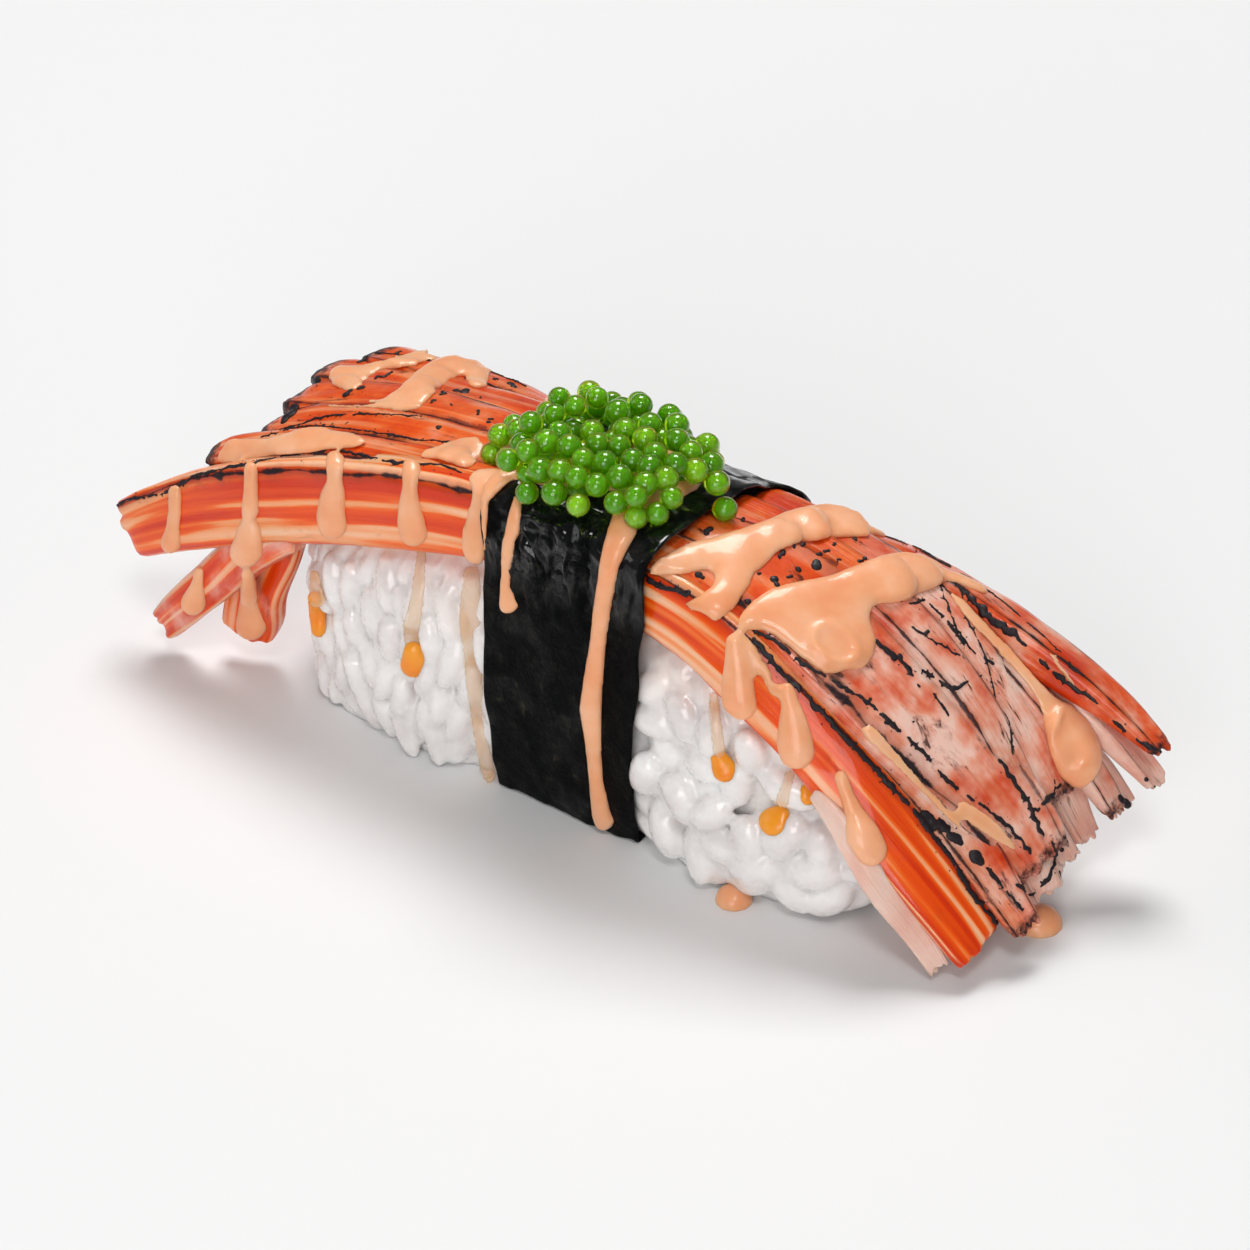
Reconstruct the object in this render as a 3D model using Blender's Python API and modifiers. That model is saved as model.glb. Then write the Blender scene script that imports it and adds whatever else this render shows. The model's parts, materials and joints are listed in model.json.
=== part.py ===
# Crab stick nigiri: a pressed bed of rice, three crab sticks with torn and torched ends,
# a nori band round both, and a heap of roe on the band.
# Metres, +Z up. X runs along the sushi, -Y is its front long side, z = 0 is what it rests on,
# and the origin is under the middle of the band.

import math
import random

import bmesh
import bpy
from mathutils import Euler, Matrix, Vector
from mathutils.bvhtree import BVHTree

MM = 0.001
GAP = 0.3 * MM                      # kept between neighbouring pieces

# Rice bed: a loaf that swells between its base and its top
RICE_CENTRE_X = -1.0 * MM
RICE_LENGTH = 64.8 * MM             # of the bare core, at the swell
RICE_WIDTH = 25.0 * MM
RICE_HEIGHT = 22.2 * MM
RICE_BACK_SLOPE = 0.26              # how fast the top falls from the middle to the back
RICE_SQUARENESS = 4.0               # exponent of the outline seen from above
BAND_PINCH = (0.055, 0.10)          # the band draws the rice in by these shares: all over, and more at the base
GRAIN_SIZE = Vector((2.8, 2.5, 5.9)) * MM
GRAIN_COUNT = 98
FOOT_GRAINS = (-14.8, -11.4, 12.0, 15.6, 19.4)   # x, in mm, of those at the foot, on both long sides
GRAIN_SEED = 11

# Nori band
NORI_THICKNESS = 0.5 * MM
NORI_LEFT = -8.2 * MM
NORI_RIGHT = 7.3 * MM
NORI_LEAN = 2.3 * MM                # the right edge leans out by this at the top
NORI_RIPPLE = 0.16 * MM
# Outline of the band's outer face, seen along +X: front, over the top, down the back
NORI_OUTLINE = [(-11.2, 0.0), (-12.2, 4.5), (-12.9, 12.0), (-12.9, 20.0), (-13.0, 27.0), (-12.3, 30.6),
                (-8.5, 31.8), (-3.0, 31.7), (2.0, 30.9), (6.0, 29.1), (9.4, 26.9), (12.1, 23.9),
                (13.1, 19.0), (13.1, 11.0), (12.4, 4.5), (11.2, 0.0)]

# Crab sticks: side by side under the band, their ends torn into strands
STICK_END = 10.4 * MM               # the whole stretch runs this far to each side
SEAM_FRONT = [(-60, -6.6), (-30, -6.4), (-12, -5.85), (9, -5.85), (14, -7.6), (18.5, -9.2),
              (24, -7.0), (33, -5.0), (40, -3.0), (60, -2.4)]
SEAM_BACK = [(-60, 2.4), (-25, 3.0), (-12, 3.15), (9, 3.15), (27, 3.0), (33, 2.7), (60, 3.6)]
STRAND_SIDES = 8
BAR_SIDES = 12
STRAND_STATIONS = 8
SECTION_SQUARENESS = 3.0
FLOOR_CLEARANCE = 0.4 * MM          # the hanging strands end just above the floor

# Roe: beads on a low dome
BEAD_RADIUS = 1.12 * MM
HEAP_CENTRE = Vector((-1.6, -3.0)) * MM
HEAP_RADII = Vector((10.9, 9.4)) * MM
HEAP_RISE = 3.0 * MM
BEAD_COUNTS = (25, 34)               # in a ring round the rim, and over the rest
BEAD_SEED = 5


def mm(*values):
    return Vector(values) * MM


def lerp(a, b, t):
    return a + (b - a) * t


def through_three(values, t):
    """A parabola through the values at the start, half-way and the end."""
    first, middle, last = values
    return first * (1 - t) * (1 - 2 * t) + middle * 4 * t * (1 - t) + last * t * (2 * t - 1)


def along(points, x):
    """The y of a broken line at x."""
    for (x0, y0), (x1, y1) in zip(points, points[1:]):
        if x <= x1:
            return lerp(y0, y1, max(0.0, (x - x0) / (x1 - x0)))
    return points[-1][1]


def signed_power(value, exponent):
    return math.copysign(abs(value) ** exponent, value)


def superellipse(angle, squareness):
    exponent = 2.0 / squareness
    return signed_power(math.cos(angle), exponent), signed_power(math.sin(angle), exponent)


def smooth_loop(keys, samples):
    """A closed Catmull-Rom curve through the keys, except for its straight last side."""
    points = []
    count = len(keys)
    for i in range(count - 1):
        p0, p1, p2, p3 = (Vector(keys[j]) for j in (max(i - 1, 0), i, i + 1, min(i + 2, count - 1)))
        for k in range(samples):
            t = k / samples
            points.append(0.5 * (2 * p1 + (p2 - p0) * t + (2 * p0 - 5 * p1 + 4 * p2 - p3) * t ** 2
                                 + (3 * p1 - p0 - 3 * p2 + p3) * t ** 3))
    points.append(Vector(keys[-1]))
    return points


def make_material(name, colour, roughness, alpha=1.0):
    material = bpy.data.materials.new(name)
    material.use_nodes = True
    shader = material.node_tree.nodes["Principled BSDF"]
    shader.inputs["Base Color"].default_value = (*colour, 1.0)
    shader.inputs["Roughness"].default_value = roughness
    shader.inputs["Metallic"].default_value = 0.0
    shader.inputs["Alpha"].default_value = alpha
    return material


def add_object(name, bm, collection):
    bmesh.ops.recalc_face_normals(bm, faces=bm.faces)
    if bm.calc_volume(signed=True) < 0:
        bmesh.ops.reverse_faces(bm, faces=bm.faces)
    mesh = bpy.data.meshes.new(name)
    bm.to_mesh(mesh)
    bm.free()
    made = bpy.data.objects.new(name, mesh)
    collection.objects.link(made)
    return made


def loft(name, rings, collection, capped=True):
    """Skins rings of equal length, one after the other."""
    bm = bmesh.new()
    loops = [[bm.verts.new(point) for point in ring] for ring in rings]
    for near, far in zip(loops, loops[1:]):
        for i in range(len(near)):
            j = (i + 1) % len(near)
            bm.faces.new((near[i], near[j], far[j], far[i]))
    if capped:
        bm.faces.new(loops[0])
        bm.faces.new(loops[-1])
    return add_object(name, bm, collection)


def apply_modifiers(target):
    evaluated = target.evaluated_get(bpy.context.evaluated_depsgraph_get())
    mesh = bpy.data.meshes.new_from_object(evaluated)
    target.modifiers.clear()
    target.data = mesh


def keep_largest_shell(target):
    """Drops loose scraps and fills sealed hollows: only the largest closed shell stays."""
    bm = bmesh.new()
    bm.from_mesh(target.data)
    unseen = set(bm.faces)
    shells = []
    while unseen:
        shell = {unseen.pop()}
        edge_of_search = list(shell)
        while edge_of_search:
            face = edge_of_search.pop()
            for edge in face.edges:
                for other in edge.link_faces:
                    if other in unseen:
                        unseen.remove(other)
                        shell.add(other)
                        edge_of_search.append(other)
        shells.append(shell)
    largest = max(shells, key=lambda shell: sum(face.calc_area() for face in shell))
    loose = [face for face in bm.faces if face not in largest]
    bmesh.ops.delete(bm, geom=loose, context="FACES")
    bm.to_mesh(target.data)
    bm.free()


def boolean(target, operation, other=None, group=None, solver="EXACT"):
    modifier = target.modifiers.new(operation.title(), "BOOLEAN")
    modifier.operation = operation
    modifier.solver = solver
    if group:
        modifier.operand_type = "COLLECTION"
        modifier.collection = group
    else:
        modifier.object = other
    apply_modifiers(target)


def fuse(name, pieces, solver="MANIFOLD"):
    """One solid from overlapping pieces: the first takes the rest in one union."""
    body, group = pieces[0], bpy.data.collections.new(name + "_pieces")
    bpy.context.scene.collection.children.link(group)
    for piece in pieces[1:]:
        group.objects.link(piece)
        parts.objects.unlink(piece)
    boolean(body, "UNION", group=group, solver=solver)
    for piece in pieces[1:]:
        bpy.data.objects.remove(piece)
    bpy.data.collections.remove(group)
    body.name = name
    return body


# The rice core's form

def rice_top(y):
    return RICE_HEIGHT - RICE_BACK_SLOPE * max(0.0, y + 1 * MM)


def rice_spread(height, x):
    """Half length and half width of the core at a share of its full height, and at a place along it."""
    tuck = max(0.0, 1 - height / 0.5) ** 2
    shoulder = max(0.0, (height - 0.5) / 0.5)
    under_band = max(0.0, 1 - (x / (1.85 * NORI_RIGHT)) ** 8)
    pinch = (BAND_PINCH[0] + BAND_PINCH[1] * tuck) * under_band
    half_length = RICE_LENGTH / 2 * (1 - 0.03 * tuck) * (1 - 0.36 * shoulder ** 2.4)
    half_width = RICE_WIDTH / 2 * (1 - 0.02 * tuck - pinch) * (1 - 0.16 * shoulder ** 4)
    return half_length, half_width


def rice_point(angle, height):
    x, y = math.cos(angle), math.sin(angle)
    reach = (abs(x) ** RICE_SQUARENESS + abs(y) ** RICE_SQUARENESS) ** (-1 / RICE_SQUARENESS)
    x = RICE_CENTRE_X + x * reach * rice_spread(height, 0.0)[0]
    y *= reach * rice_spread(height, x)[1]
    return Vector((x, y, height * rice_top(y)))


def in_rice(point, margin):
    height = (point.z - margin) / rice_top(point.y)
    if height > 1:
        return False
    half_length, half_width = rice_spread(max(0.0, height), point.x)
    x = abs(point.x - RICE_CENTRE_X) / (half_length + margin)
    y = abs(point.y) / (half_width + margin)
    return x ** RICE_SQUARENESS + y ** RICE_SQUARENESS < 1


def lifted_off_rice(point):
    """Crab that would sink into the rice is pressed flat against it instead."""
    anchor = Vector((min(max(point.x, -16 * MM), 18 * MM), 0.5 * point.y, 6 * MM))
    step = (point - anchor).normalized() * 0.1 * MM
    while in_rice(point, 3 * GAP):
        point = point + step
    point.z = max(point.z, FLOOR_CLEARANCE)
    return point


# Strands

def strand_point(root, tip, droop, bow, t):
    """Level where it leaves the stick, then falling faster and faster; it may bow to a side."""
    point = root.lerp(tip, t)
    point.z = lerp(root.z, tip.z, t ** droop)
    point.y += bow * math.sin(math.pi * t)
    return point


def strand(name, root, tip, width, depth, tilt, droop=1.75, bow=0.0):
    """A torn strip. width and depth are given at the root, half-way and the tip, in mm.
    tilt turns its width from level, in degrees at the root and at the tip."""
    root, tip = mm(*root), mm(*tip)
    rings = []
    for station in range(STRAND_STATIONS):
        t = station / (STRAND_STATIONS - 1)
        centre = strand_point(root, tip, droop, bow * MM, t)
        ahead = strand_point(root, tip, droop, bow * MM, t + 0.02)
        tangent = (ahead - centre).normalized()
        angle = math.radians(lerp(tilt[0], tilt[1], t))
        across = Vector((0, math.cos(angle), math.sin(angle)))
        across = (across - across.dot(tangent) * tangent).normalized()
        normal = tangent.cross(across)
        half_width = through_three(width, t) * MM / 2
        half_depth = through_three(depth, t) * MM / 2
        ring = []
        for side in range(STRAND_SIDES):
            u, v = superellipse(2 * math.pi * (side + 0.5) / STRAND_SIDES, SECTION_SQUARENESS)
            ring.append(lifted_off_rice(centre + across * u * half_width + normal * v * half_depth))
        rings.append(ring)
    return loft(name, rings, parts)


def bar(name, y, z, width, depth, tilt):
    """The whole stretch of a stick: straight, and narrowed a little at its ends."""
    rings = []
    slant = math.radians(tilt)
    for x, size in ((-STICK_END, 0.6), (-0.85 * STICK_END, 0.9), (0.0, 1.0),
                    (0.7 * STICK_END, 0.97), (STICK_END, 0.5)):
        ring = []
        for side in range(BAR_SIDES):
            u, v = superellipse(2 * math.pi * (side + 0.5) / BAR_SIDES, 5.0)
            u, v = u * width / 2 * size, v * depth / 2 * size
            point = mm(0, y + u * math.cos(slant) - v * math.sin(slant),
                       z + u * math.sin(slant) + v * math.cos(slant))
            ring.append(lifted_off_rice(point + Vector((x, 0, 0))))
        rings.append(ring)
    return loft(name, rings, parts)


def drop(name, top, bottom, radius):
    """A run of thick sauce that ends in a bulb, half sunk in what carries it."""
    top, bottom = mm(*top), mm(*bottom)
    run = bottom - top
    bm = bmesh.new()
    bmesh.ops.create_uvsphere(bm, u_segments=6, v_segments=6, radius=1.0)
    turn = Vector((0, 0, -1)).rotation_difference(run.normalized()).to_matrix()
    for vert in bm.verts:
        share = (1 - vert.co.z) / 2
        slim = lerp(0.65, 1.2, share ** 2) * radius * MM
        local = Vector((vert.co.x * slim, vert.co.y * slim, vert.co.z * run.length / 2))
        vert.co = turn @ local + (top + bottom) / 2
        vert.co.z = max(vert.co.z, FLOOR_CLEARANCE)
    return add_object(name, bm, parts)


def pool(name, centre, radii, pitch, roll):
    """A low mound of thick sauce on top of a strand, turned to its slope."""
    bm = bmesh.new()
    bmesh.ops.create_uvsphere(bm, u_segments=8, v_segments=4, radius=1.0)
    turn = Euler((math.radians(roll), math.radians(pitch), 0)).to_matrix().to_4x4()
    bm.transform(Matrix.Translation(mm(*centre)) @ turn @ Matrix.Diagonal((*mm(*radii), 1.0)))
    return add_object(name, bm, parts)


def territory(name, near, far):
    """The upright block between two seams that a stick has to itself."""
    bm = bmesh.new()
    xs = sorted({x for x, y in near} | {x for x, y in far})
    edge = [bm.verts.new((x * MM, along(near, x) * MM + GAP / 2, -10 * MM)) for x in xs]
    edge += [bm.verts.new((x * MM, along(far, x) * MM - GAP / 2, -10 * MM)) for x in reversed(xs)]
    floor = bm.faces.new(edge)
    grown = bmesh.ops.extrude_face_region(bm, geom=[floor])
    lifted = [item for item in grown["geom"] if isinstance(item, bmesh.types.BMVert)]
    bmesh.ops.translate(bm, verts=lifted, vec=(0, 0, 60 * MM))
    cutter = add_object(name, bm, cutters)
    cutter.hide_render = True
    cutter.display_type = "WIRE"
    return cutter


def stick(name, pieces, near, far, material):
    body = fuse(name, pieces)
    boolean(body, "INTERSECT", other=territory(name + "_space", near, far), solver="MANIFOLD")
    keep_largest_shell(body)
    body.data.materials.append(material)
    return body


def make_sticks(crab):
    far_front = [(-60, -40), (60, -40)]
    far_back = [(-60, 40), (60, 40)]
    front = [
        bar("front", -9.0, 26.8, 6.2, 7.4, 0),
        strand("left_face", (-7, -9.2, 26.6), (-50.6, -11.4, 11.2), (7.2, 8.4, 5.6), (5.4, 5.0, 3.6), (88, 80)),
        strand("left_top", (-8, -8.6, 27.4), (-43, -8.5, 19.6), (4.6, 4.4, 2.8), (5.0, 4.2, 2.4), (8, 15), 2.4),
        strand("left_branch", (-31, -11.3, 18.6), (-46.2, -12.0, 2.6), (4.6, 4.4, 3.2), (3.0, 2.8, 2.4),
               (90, 90), 1.2),
        strand("left_hanging", (-33, -9.0, 20.5), (-39.3, -8.9, 2.4), (4.4, 7.2, 5.2), (2.4, 2.2, 2.2),
               (90, 90), 1.3),
        strand("right_face", (6, -9.5, 26.2), (41.0, -8.6, 2.4), (6.8, 6.4, 5.6), (5.2, 3.4, 1.4),
               (88, 28), 1.75, -1.2),
        strand("right_flap", (25, -12.4, 16.6), (38.6, -11.4, 1.1), (2.4, 3.2, 2.2), (1.2, 1.0, 0.8),
               (62, 40), 1.3, -0.8),
        strand("right_top", (7, -8.6, 27.4), (43.2, -4.8, 3.4), (4.6, 6.2, 3.2), (4.4, 3.0, 1.2), (10, 28), 1.75),
        drop("sauce_1", (-43.2, -13.3, 18.4), (-43.0, -13.9, 12.4), 1.3),
        drop("sauce_2", (-36.4, -13.3, 21.6), (-36.6, -14.2, 12.8), 1.7),
        drop("sauce_3", (-27.0, -13.3, 26.4), (-27.0, -14.2, 18.0), 1.7),
        drop("sauce_4", (-19.0, -12.9, 28.0), (-19.0, -14.2, 20.4), 1.7),
        drop("sauce_5", (-38.8, -10.4, 9.0), (-39.0, -10.4, 1.0), 2.0),
        drop("sauce_6", (13.0, -12.6, 25.5), (14.8, -14.0, 18.8), 1.5),
        drop("sauce_7", (20.0, -12.4, 21.0), (22.6, -14.3, 14.0), 1.7),
        drop("sauce_8", (28.2, -12.4, 16.0), (30.8, -13.6, 9.6), 1.7),
        pool("sauce_9", (30.0, -6.5, 17.8), (4.6, 1.9, 1.1), 40, 20),
    ]
    middle = [
        bar("middle", -1.3, 26.4, 9.4, 7.6, -7),
        strand("left_inner", (-8, -3.6, 27.2), (-40, -4.2, 21.8), (4.4, 4.2, 3.0), (5.0, 4.0, 2.2), (6, 12), 2.4),
        strand("left_outer", (-8, 0.7, 26.8), (-40.6, 0.0, 22.7), (4.6, 4.4, 3.2), (5.0, 4.4, 2.6), (-4, 4), 2.6),
        strand("right_slab", (8, -4.8, 27.0), (41.6, -1.2, 7.0), (6.5, 9.2, 2.6), (5.0, 4.2, 1.5), (4, 30), 2.0, -1.6),
        strand("right_middle", (8, 0.3, 26.8), (41.0, 2.0, 7.8), (5.4, 5.0, 2.4), (5.0, 4.2, 1.5), (-4, 14), 2.6),
        strand("under_front", (26, -2.6, 19.6), (42.3, -0.5, 4.2), (4.4, 4.8, 3.6), (2.6, 2.2, 1.0), (0, 20), 1.5),
        strand("under_middle", (26, 1.2, 20.8), (42.0, 3.0, 5.4), (4.4, 4.4, 3.2), (2.6, 2.2, 1.0), (0, 14), 1.6),
        pool("sauce_10", (-19.0, -0.8, 28.6), (5.2, 2.6, 1.2), -2, 0),
        pool("sauce_11", (12.4, -1.6, 29.0), (2.2, 4.0, 1.2), 8, 0),
        pool("sauce_12", (18.6, -5.2, 27.6), (5.6, 3.4, 1.2), 18, 10),
        pool("sauce_13", (36.0, -2.4, 13.6), (3.8, 1.7, 1.1), 45, 25),
    ]
    back = [
        bar("back", 6.0, 22.7, 7.0, 5.6, -27),
        strand("left_near", (-8, 5.0, 25.7), (-41.4, 4.4, 22.8), (4.4, 4.6, 3.6), (4.6, 4.6, 3.0), (-14, 0), 2.6),
        strand("left_far", (-9.5, 7.8, 23.2), (-38.4, 8.8, 24.0), (4.4, 5.6, 4.0), (4.6, 6.4, 3.2), (-28, -6), 3.0),
        strand("right_near", (8, 4.6, 25.8), (39.4, 4.6, 10.0), (4.6, 4.4, 2.6), (5.0, 4.2, 1.4), (-12, 8), 2.6),
        strand("right_far", (8, 7.6, 23.2), (43.5, 8.0, 8.4), (4.6, 4.8, 2.4), (4.6, 4.4, 1.4), (-24, 4), 2.5),
        strand("right_rim", (10.5, 8.8, 22.8), (46.4, 12.3, 12.6), (4.0, 5.4, 1.4), (4.4, 4.2, 1.0), (-32, -8), 2.4),
        strand("under_near", (26, 5.4, 20.6), (41.7, 7.0, 5.8), (4.4, 4.4, 3.2), (2.6, 2.2, 1.0), (-10, 8), 1.6),
        strand("under_far", (26, 8.4, 19.4), (43.2, 9.8, 7.6), (4.4, 4.4, 3.2), (2.6, 2.2, 1.0), (-20, 0), 1.6),
        strand("under_rim", (27, 10.4, 19.0), (45.3, 11.7, 9.8), (3.0, 3.2, 2.6), (2.6, 2.2, 1.0), (-25, 0), 1.6),
        pool("sauce_14", (-16.5, 5.8, 27.8), (4.6, 2.2, 1.2), 0, -14),
        drop("sauce_15", (34.0, 7.4, 20.2), (42.6, 8.0, 10.2), 1.6),
    ]
    return [
        stick("crab_stick_front", front, far_front, SEAM_FRONT, crab),
        stick("crab_stick_middle", middle, SEAM_FRONT, SEAM_BACK, crab),
        stick("crab_stick_back", back, SEAM_BACK, far_back, crab),
    ]


# Rice

def make_grain(name, place, outward, lean, size):
    """A grain lying on the core, its length turned by lean from upright."""
    bm = bmesh.new()
    bmesh.ops.create_uvsphere(bm, u_segments=5, v_segments=4, radius=0.5)
    side = outward.cross(Vector((0, 0, 1))).normalized()
    upright = side.cross(outward)
    length = upright * math.cos(lean) + side * math.sin(lean)
    turn = Matrix((length.cross(outward), outward, length)).transposed()
    for vert in bm.verts:
        vert.co = place + turn @ Vector([c * s for c, s in zip(vert.co, size)])
    return bm


def touches(bm, tree):
    """True where a grain meets, or comes within the gap of, the crab."""
    if tree.overlap(BVHTree.FromBMesh(bm)):
        return True
    return any(tree.find_nearest(vert.co, GAP)[0] is not None for vert in bm.verts)


def make_rice(sticks, rice):
    levels = [0.0, 0.15, 0.32, 0.52, 0.7, 0.84, 0.94, 1.0]
    around = 56
    rings = [[rice_point(2 * math.pi * k / around, level) for k in range(around)] for level in levels]
    pieces = [loft("rice_core", rings, parts)]
    trees = []
    for crab_stick in sticks:
        bm = bmesh.new()
        bm.from_mesh(crab_stick.data)
        trees.append(BVHTree.FromBMesh(bm))
        bm.free()
    draw = random.Random(GRAIN_SEED)
    band_left, band_right = NORI_LEFT - 2 * GAP, NORI_RIGHT + NORI_LEAN + GAP
    steps = 720
    outline = [rice_point(2 * math.pi * k / steps, 0.5) for k in range(steps)]
    lengths = [0.0]
    for k in range(steps):
        lengths.append(lengths[-1] + (outline[(k + 1) % steps] - outline[k]).length)
    rows = 7
    spots = []
    for i in range(GRAIN_COUNT):
        row = i % rows
        share = (i // rows + 0.5 * (row % 2) + draw.uniform(-0.22, 0.22)) / (GRAIN_COUNT / rows)
        k = next(k for k, length in enumerate(lengths) if length >= (share % 1.0) * lengths[-1])
        height = (row + 0.35 + draw.uniform(-0.25, 0.25)) / rows
        spots.append((2 * math.pi * k / steps, min(max(height, 0.03), 0.97)))
    for x in FOOT_GRAINS:
        k = min(range(steps // 2), key=lambda k: abs(outline[k].x - x * MM))
        spots += [(2 * math.pi * k / steps, 0.06), (-2 * math.pi * k / steps, 0.06)]
    for angle, height in spots:
        place = rice_point(angle, height)
        ahead, above = rice_point(angle + 0.02, height), rice_point(angle, min(height + 0.02, 1.0))
        outward = (ahead - place).cross(above - place).normalized()
        size = GRAIN_SIZE * draw.uniform(0.88, 1.08)
        lean = math.radians(draw.gauss(0, 42))
        place = place + outward * draw.uniform(-0.45, 0.15) * MM
        bm = make_grain("grain", place, outward, lean, size)
        low, high = min(v.co.x for v in bm.verts), max(v.co.x for v in bm.verts)
        if high > band_left and low < band_right:
            shift = band_left - high if place.x < (band_left + band_right) / 2 else band_right - low
            if abs(shift) > 4.2 * MM:
                bm.free()
                continue
            bmesh.ops.translate(bm, verts=bm.verts, vec=(shift, 0, 0))
        for attempt in range(6):
            if not any(touches(bm, tree) for tree in trees):
                pieces.append(add_object("grain", bm, parts))
                break
            bmesh.ops.translate(bm, verts=bm.verts, vec=(0, 0, -0.5 * MM))
        else:
            bm.free()
    body = fuse("rice_bed", pieces)
    for centre, size in (((0, 0, -5), (90, 50, 10)),
                         (((NORI_LEFT + NORI_RIGHT + NORI_LEAN) / 2 / MM, 0, 0),
                          ((NORI_RIGHT + NORI_LEAN - NORI_LEFT) / MM + 0.8, 50,
                           2 * (NORI_THICKNESS + GAP) / MM))):
        bm = bmesh.new()
        bmesh.ops.create_cube(bm, size=1.0, matrix=Matrix.Translation(mm(*centre))
                              @ Matrix.Diagonal((*mm(*size), 1.0)))
        cutter = add_object("floor_cut", bm, cutters)
        cutter.hide_render = True
        cutter.display_type = "WIRE"
        boolean(body, "DIFFERENCE", other=cutter, solver="MANIFOLD")
    keep_largest_shell(body)
    body.data.materials.append(rice)
    return body


# Nori

def band_point(points, normals, k, x):
    """A point of the band's outer face: rippled, but flat underneath."""
    height = points[k].y
    lean = NORI_LEAN * min(1.0, height / 30) if x > 0 else 0.0
    ripple = NORI_RIPPLE * math.sin(0.9 * k + 260 * x) * min(1.0, height / 4)
    spot = points[k] * MM + normals[k] * ripple
    return Vector((x + lean, spot.x, spot.y))


def make_nori(nori):
    points = smooth_loop(NORI_OUTLINE, 2)
    count = len(points)
    normals = []
    for k in range(count):
        run = points[(k + 1) % count] - points[k - 1]
        normals.append(Vector((-run.y, run.x)).normalized())
    stations = 5
    rings = []
    for s in range(stations):
        x = lerp(NORI_LEFT, NORI_RIGHT, s / (stations - 1))
        rings.append([band_point(points, normals, k, x) for k in range(count)])
    band = loft("nori_band", rings, parts, capped=False)
    split = band.modifiers.new("Split", "TRIANGULATE")
    split.quad_method = "FIXED"
    shell = band.modifiers.new("Thickness", "SOLIDIFY")
    shell.thickness = NORI_THICKNESS
    shell.offset = -1.0
    apply_modifiers(band)
    band = fuse("nori_band", [band,
                              drop("sauce_16", (-6.2, -12.9, 29.4), (-5.9, -13.4, 19.6), 0.9),
                              drop("sauce_17", (3.2, -13.2, 30.4), (2.8, -13.7, 18.0), 1.5),
                              drop("sauce_18", (2.8, -13.3, 21.0), (2.4, -12.9, 3.6), 1.2)])
    keep_largest_shell(band)
    band.data.materials.append(nori)
    return band


# Roe

def heap_base(x, y):
    """Height of what the roe lies on: the band's top, which falls towards the back."""
    outline = [(point[0], point[1]) for point in NORI_OUTLINE[4:13]]
    return along(outline, y / MM) * MM + NORI_RIPPLE + GAP


def make_roe(roe):
    bm = bmesh.new()
    bmesh.ops.create_uvsphere(bm, u_segments=16, v_segments=8, radius=1.0)
    for vert in bm.verts:
        x = HEAP_CENTRE.x + vert.co.x * HEAP_RADII.x * 0.92
        y = HEAP_CENTRE.y + vert.co.y * HEAP_RADII.y * 0.92
        rise = max(0.0, vert.co.z) * 0.68 * HEAP_RISE + 0.4 * BEAD_RADIUS * (1 + min(0.0, vert.co.z))
        vert.co = Vector((x, y, heap_base(x, y) + rise))
    pieces = [add_object("roe_core", bm, parts)]
    draw = random.Random(BEAD_SEED)
    golden = math.pi * (3 - math.sqrt(5))
    rim, inner = BEAD_COUNTS
    for i in range(rim + inner):
        if i < rim:
            reach, angle = draw.uniform(0.93, 0.98), 2 * math.pi * (i + draw.uniform(-0.1, 0.1)) / rim
        else:
            reach, angle = 0.84 * math.sqrt((i - rim + 0.5) / inner), golden * i + draw.uniform(-0.12, 0.12)
        x = HEAP_CENTRE.x + HEAP_RADII.x * reach * math.cos(angle)
        y = HEAP_CENTRE.y + HEAP_RADII.y * reach * math.sin(angle)
        rise = HEAP_RISE * math.sqrt(max(0.0, 1 - reach ** 2)) + draw.uniform(-0.1, 0.6) * MM
        bm = bmesh.new()
        bmesh.ops.create_uvsphere(bm, u_segments=6, v_segments=4, radius=BEAD_RADIUS)
        lowest = max(heap_base(x, y + side * BEAD_RADIUS) for side in (-1, 0, 1))
        place = Vector((x, y, lowest + max(BEAD_RADIUS, rise)))
        bmesh.ops.translate(bm, verts=bm.verts, vec=place)
        pieces.append(add_object("bead", bm, parts))
    body = fuse("roe_heap", pieces)
    keep_largest_shell(body)
    body.data.materials.append(roe)
    return body


for old in list(bpy.data.objects):
    bpy.data.objects.remove(old)
parts = bpy.data.collections.new("crab_stick_nigiri")
cutters = bpy.data.collections.new("cutters")
for collection in (parts, cutters):
    bpy.context.scene.collection.children.link(collection)

sticks = make_sticks(make_material("crab", (0.80, 0.16, 0.05), 0.35))
make_rice(sticks, make_material("rice", (0.86, 0.85, 0.83), 0.4))
make_nori(make_material("nori", (0.012, 0.016, 0.012), 0.35))
make_roe(make_material("roe", (0.18, 0.50, 0.03), 0.15, 0.9))
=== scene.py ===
import json
import math
import random

import bpy
import numpy as np
from mathutils import Matrix, Vector, noise
from mathutils.bvhtree import BVHTree

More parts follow.
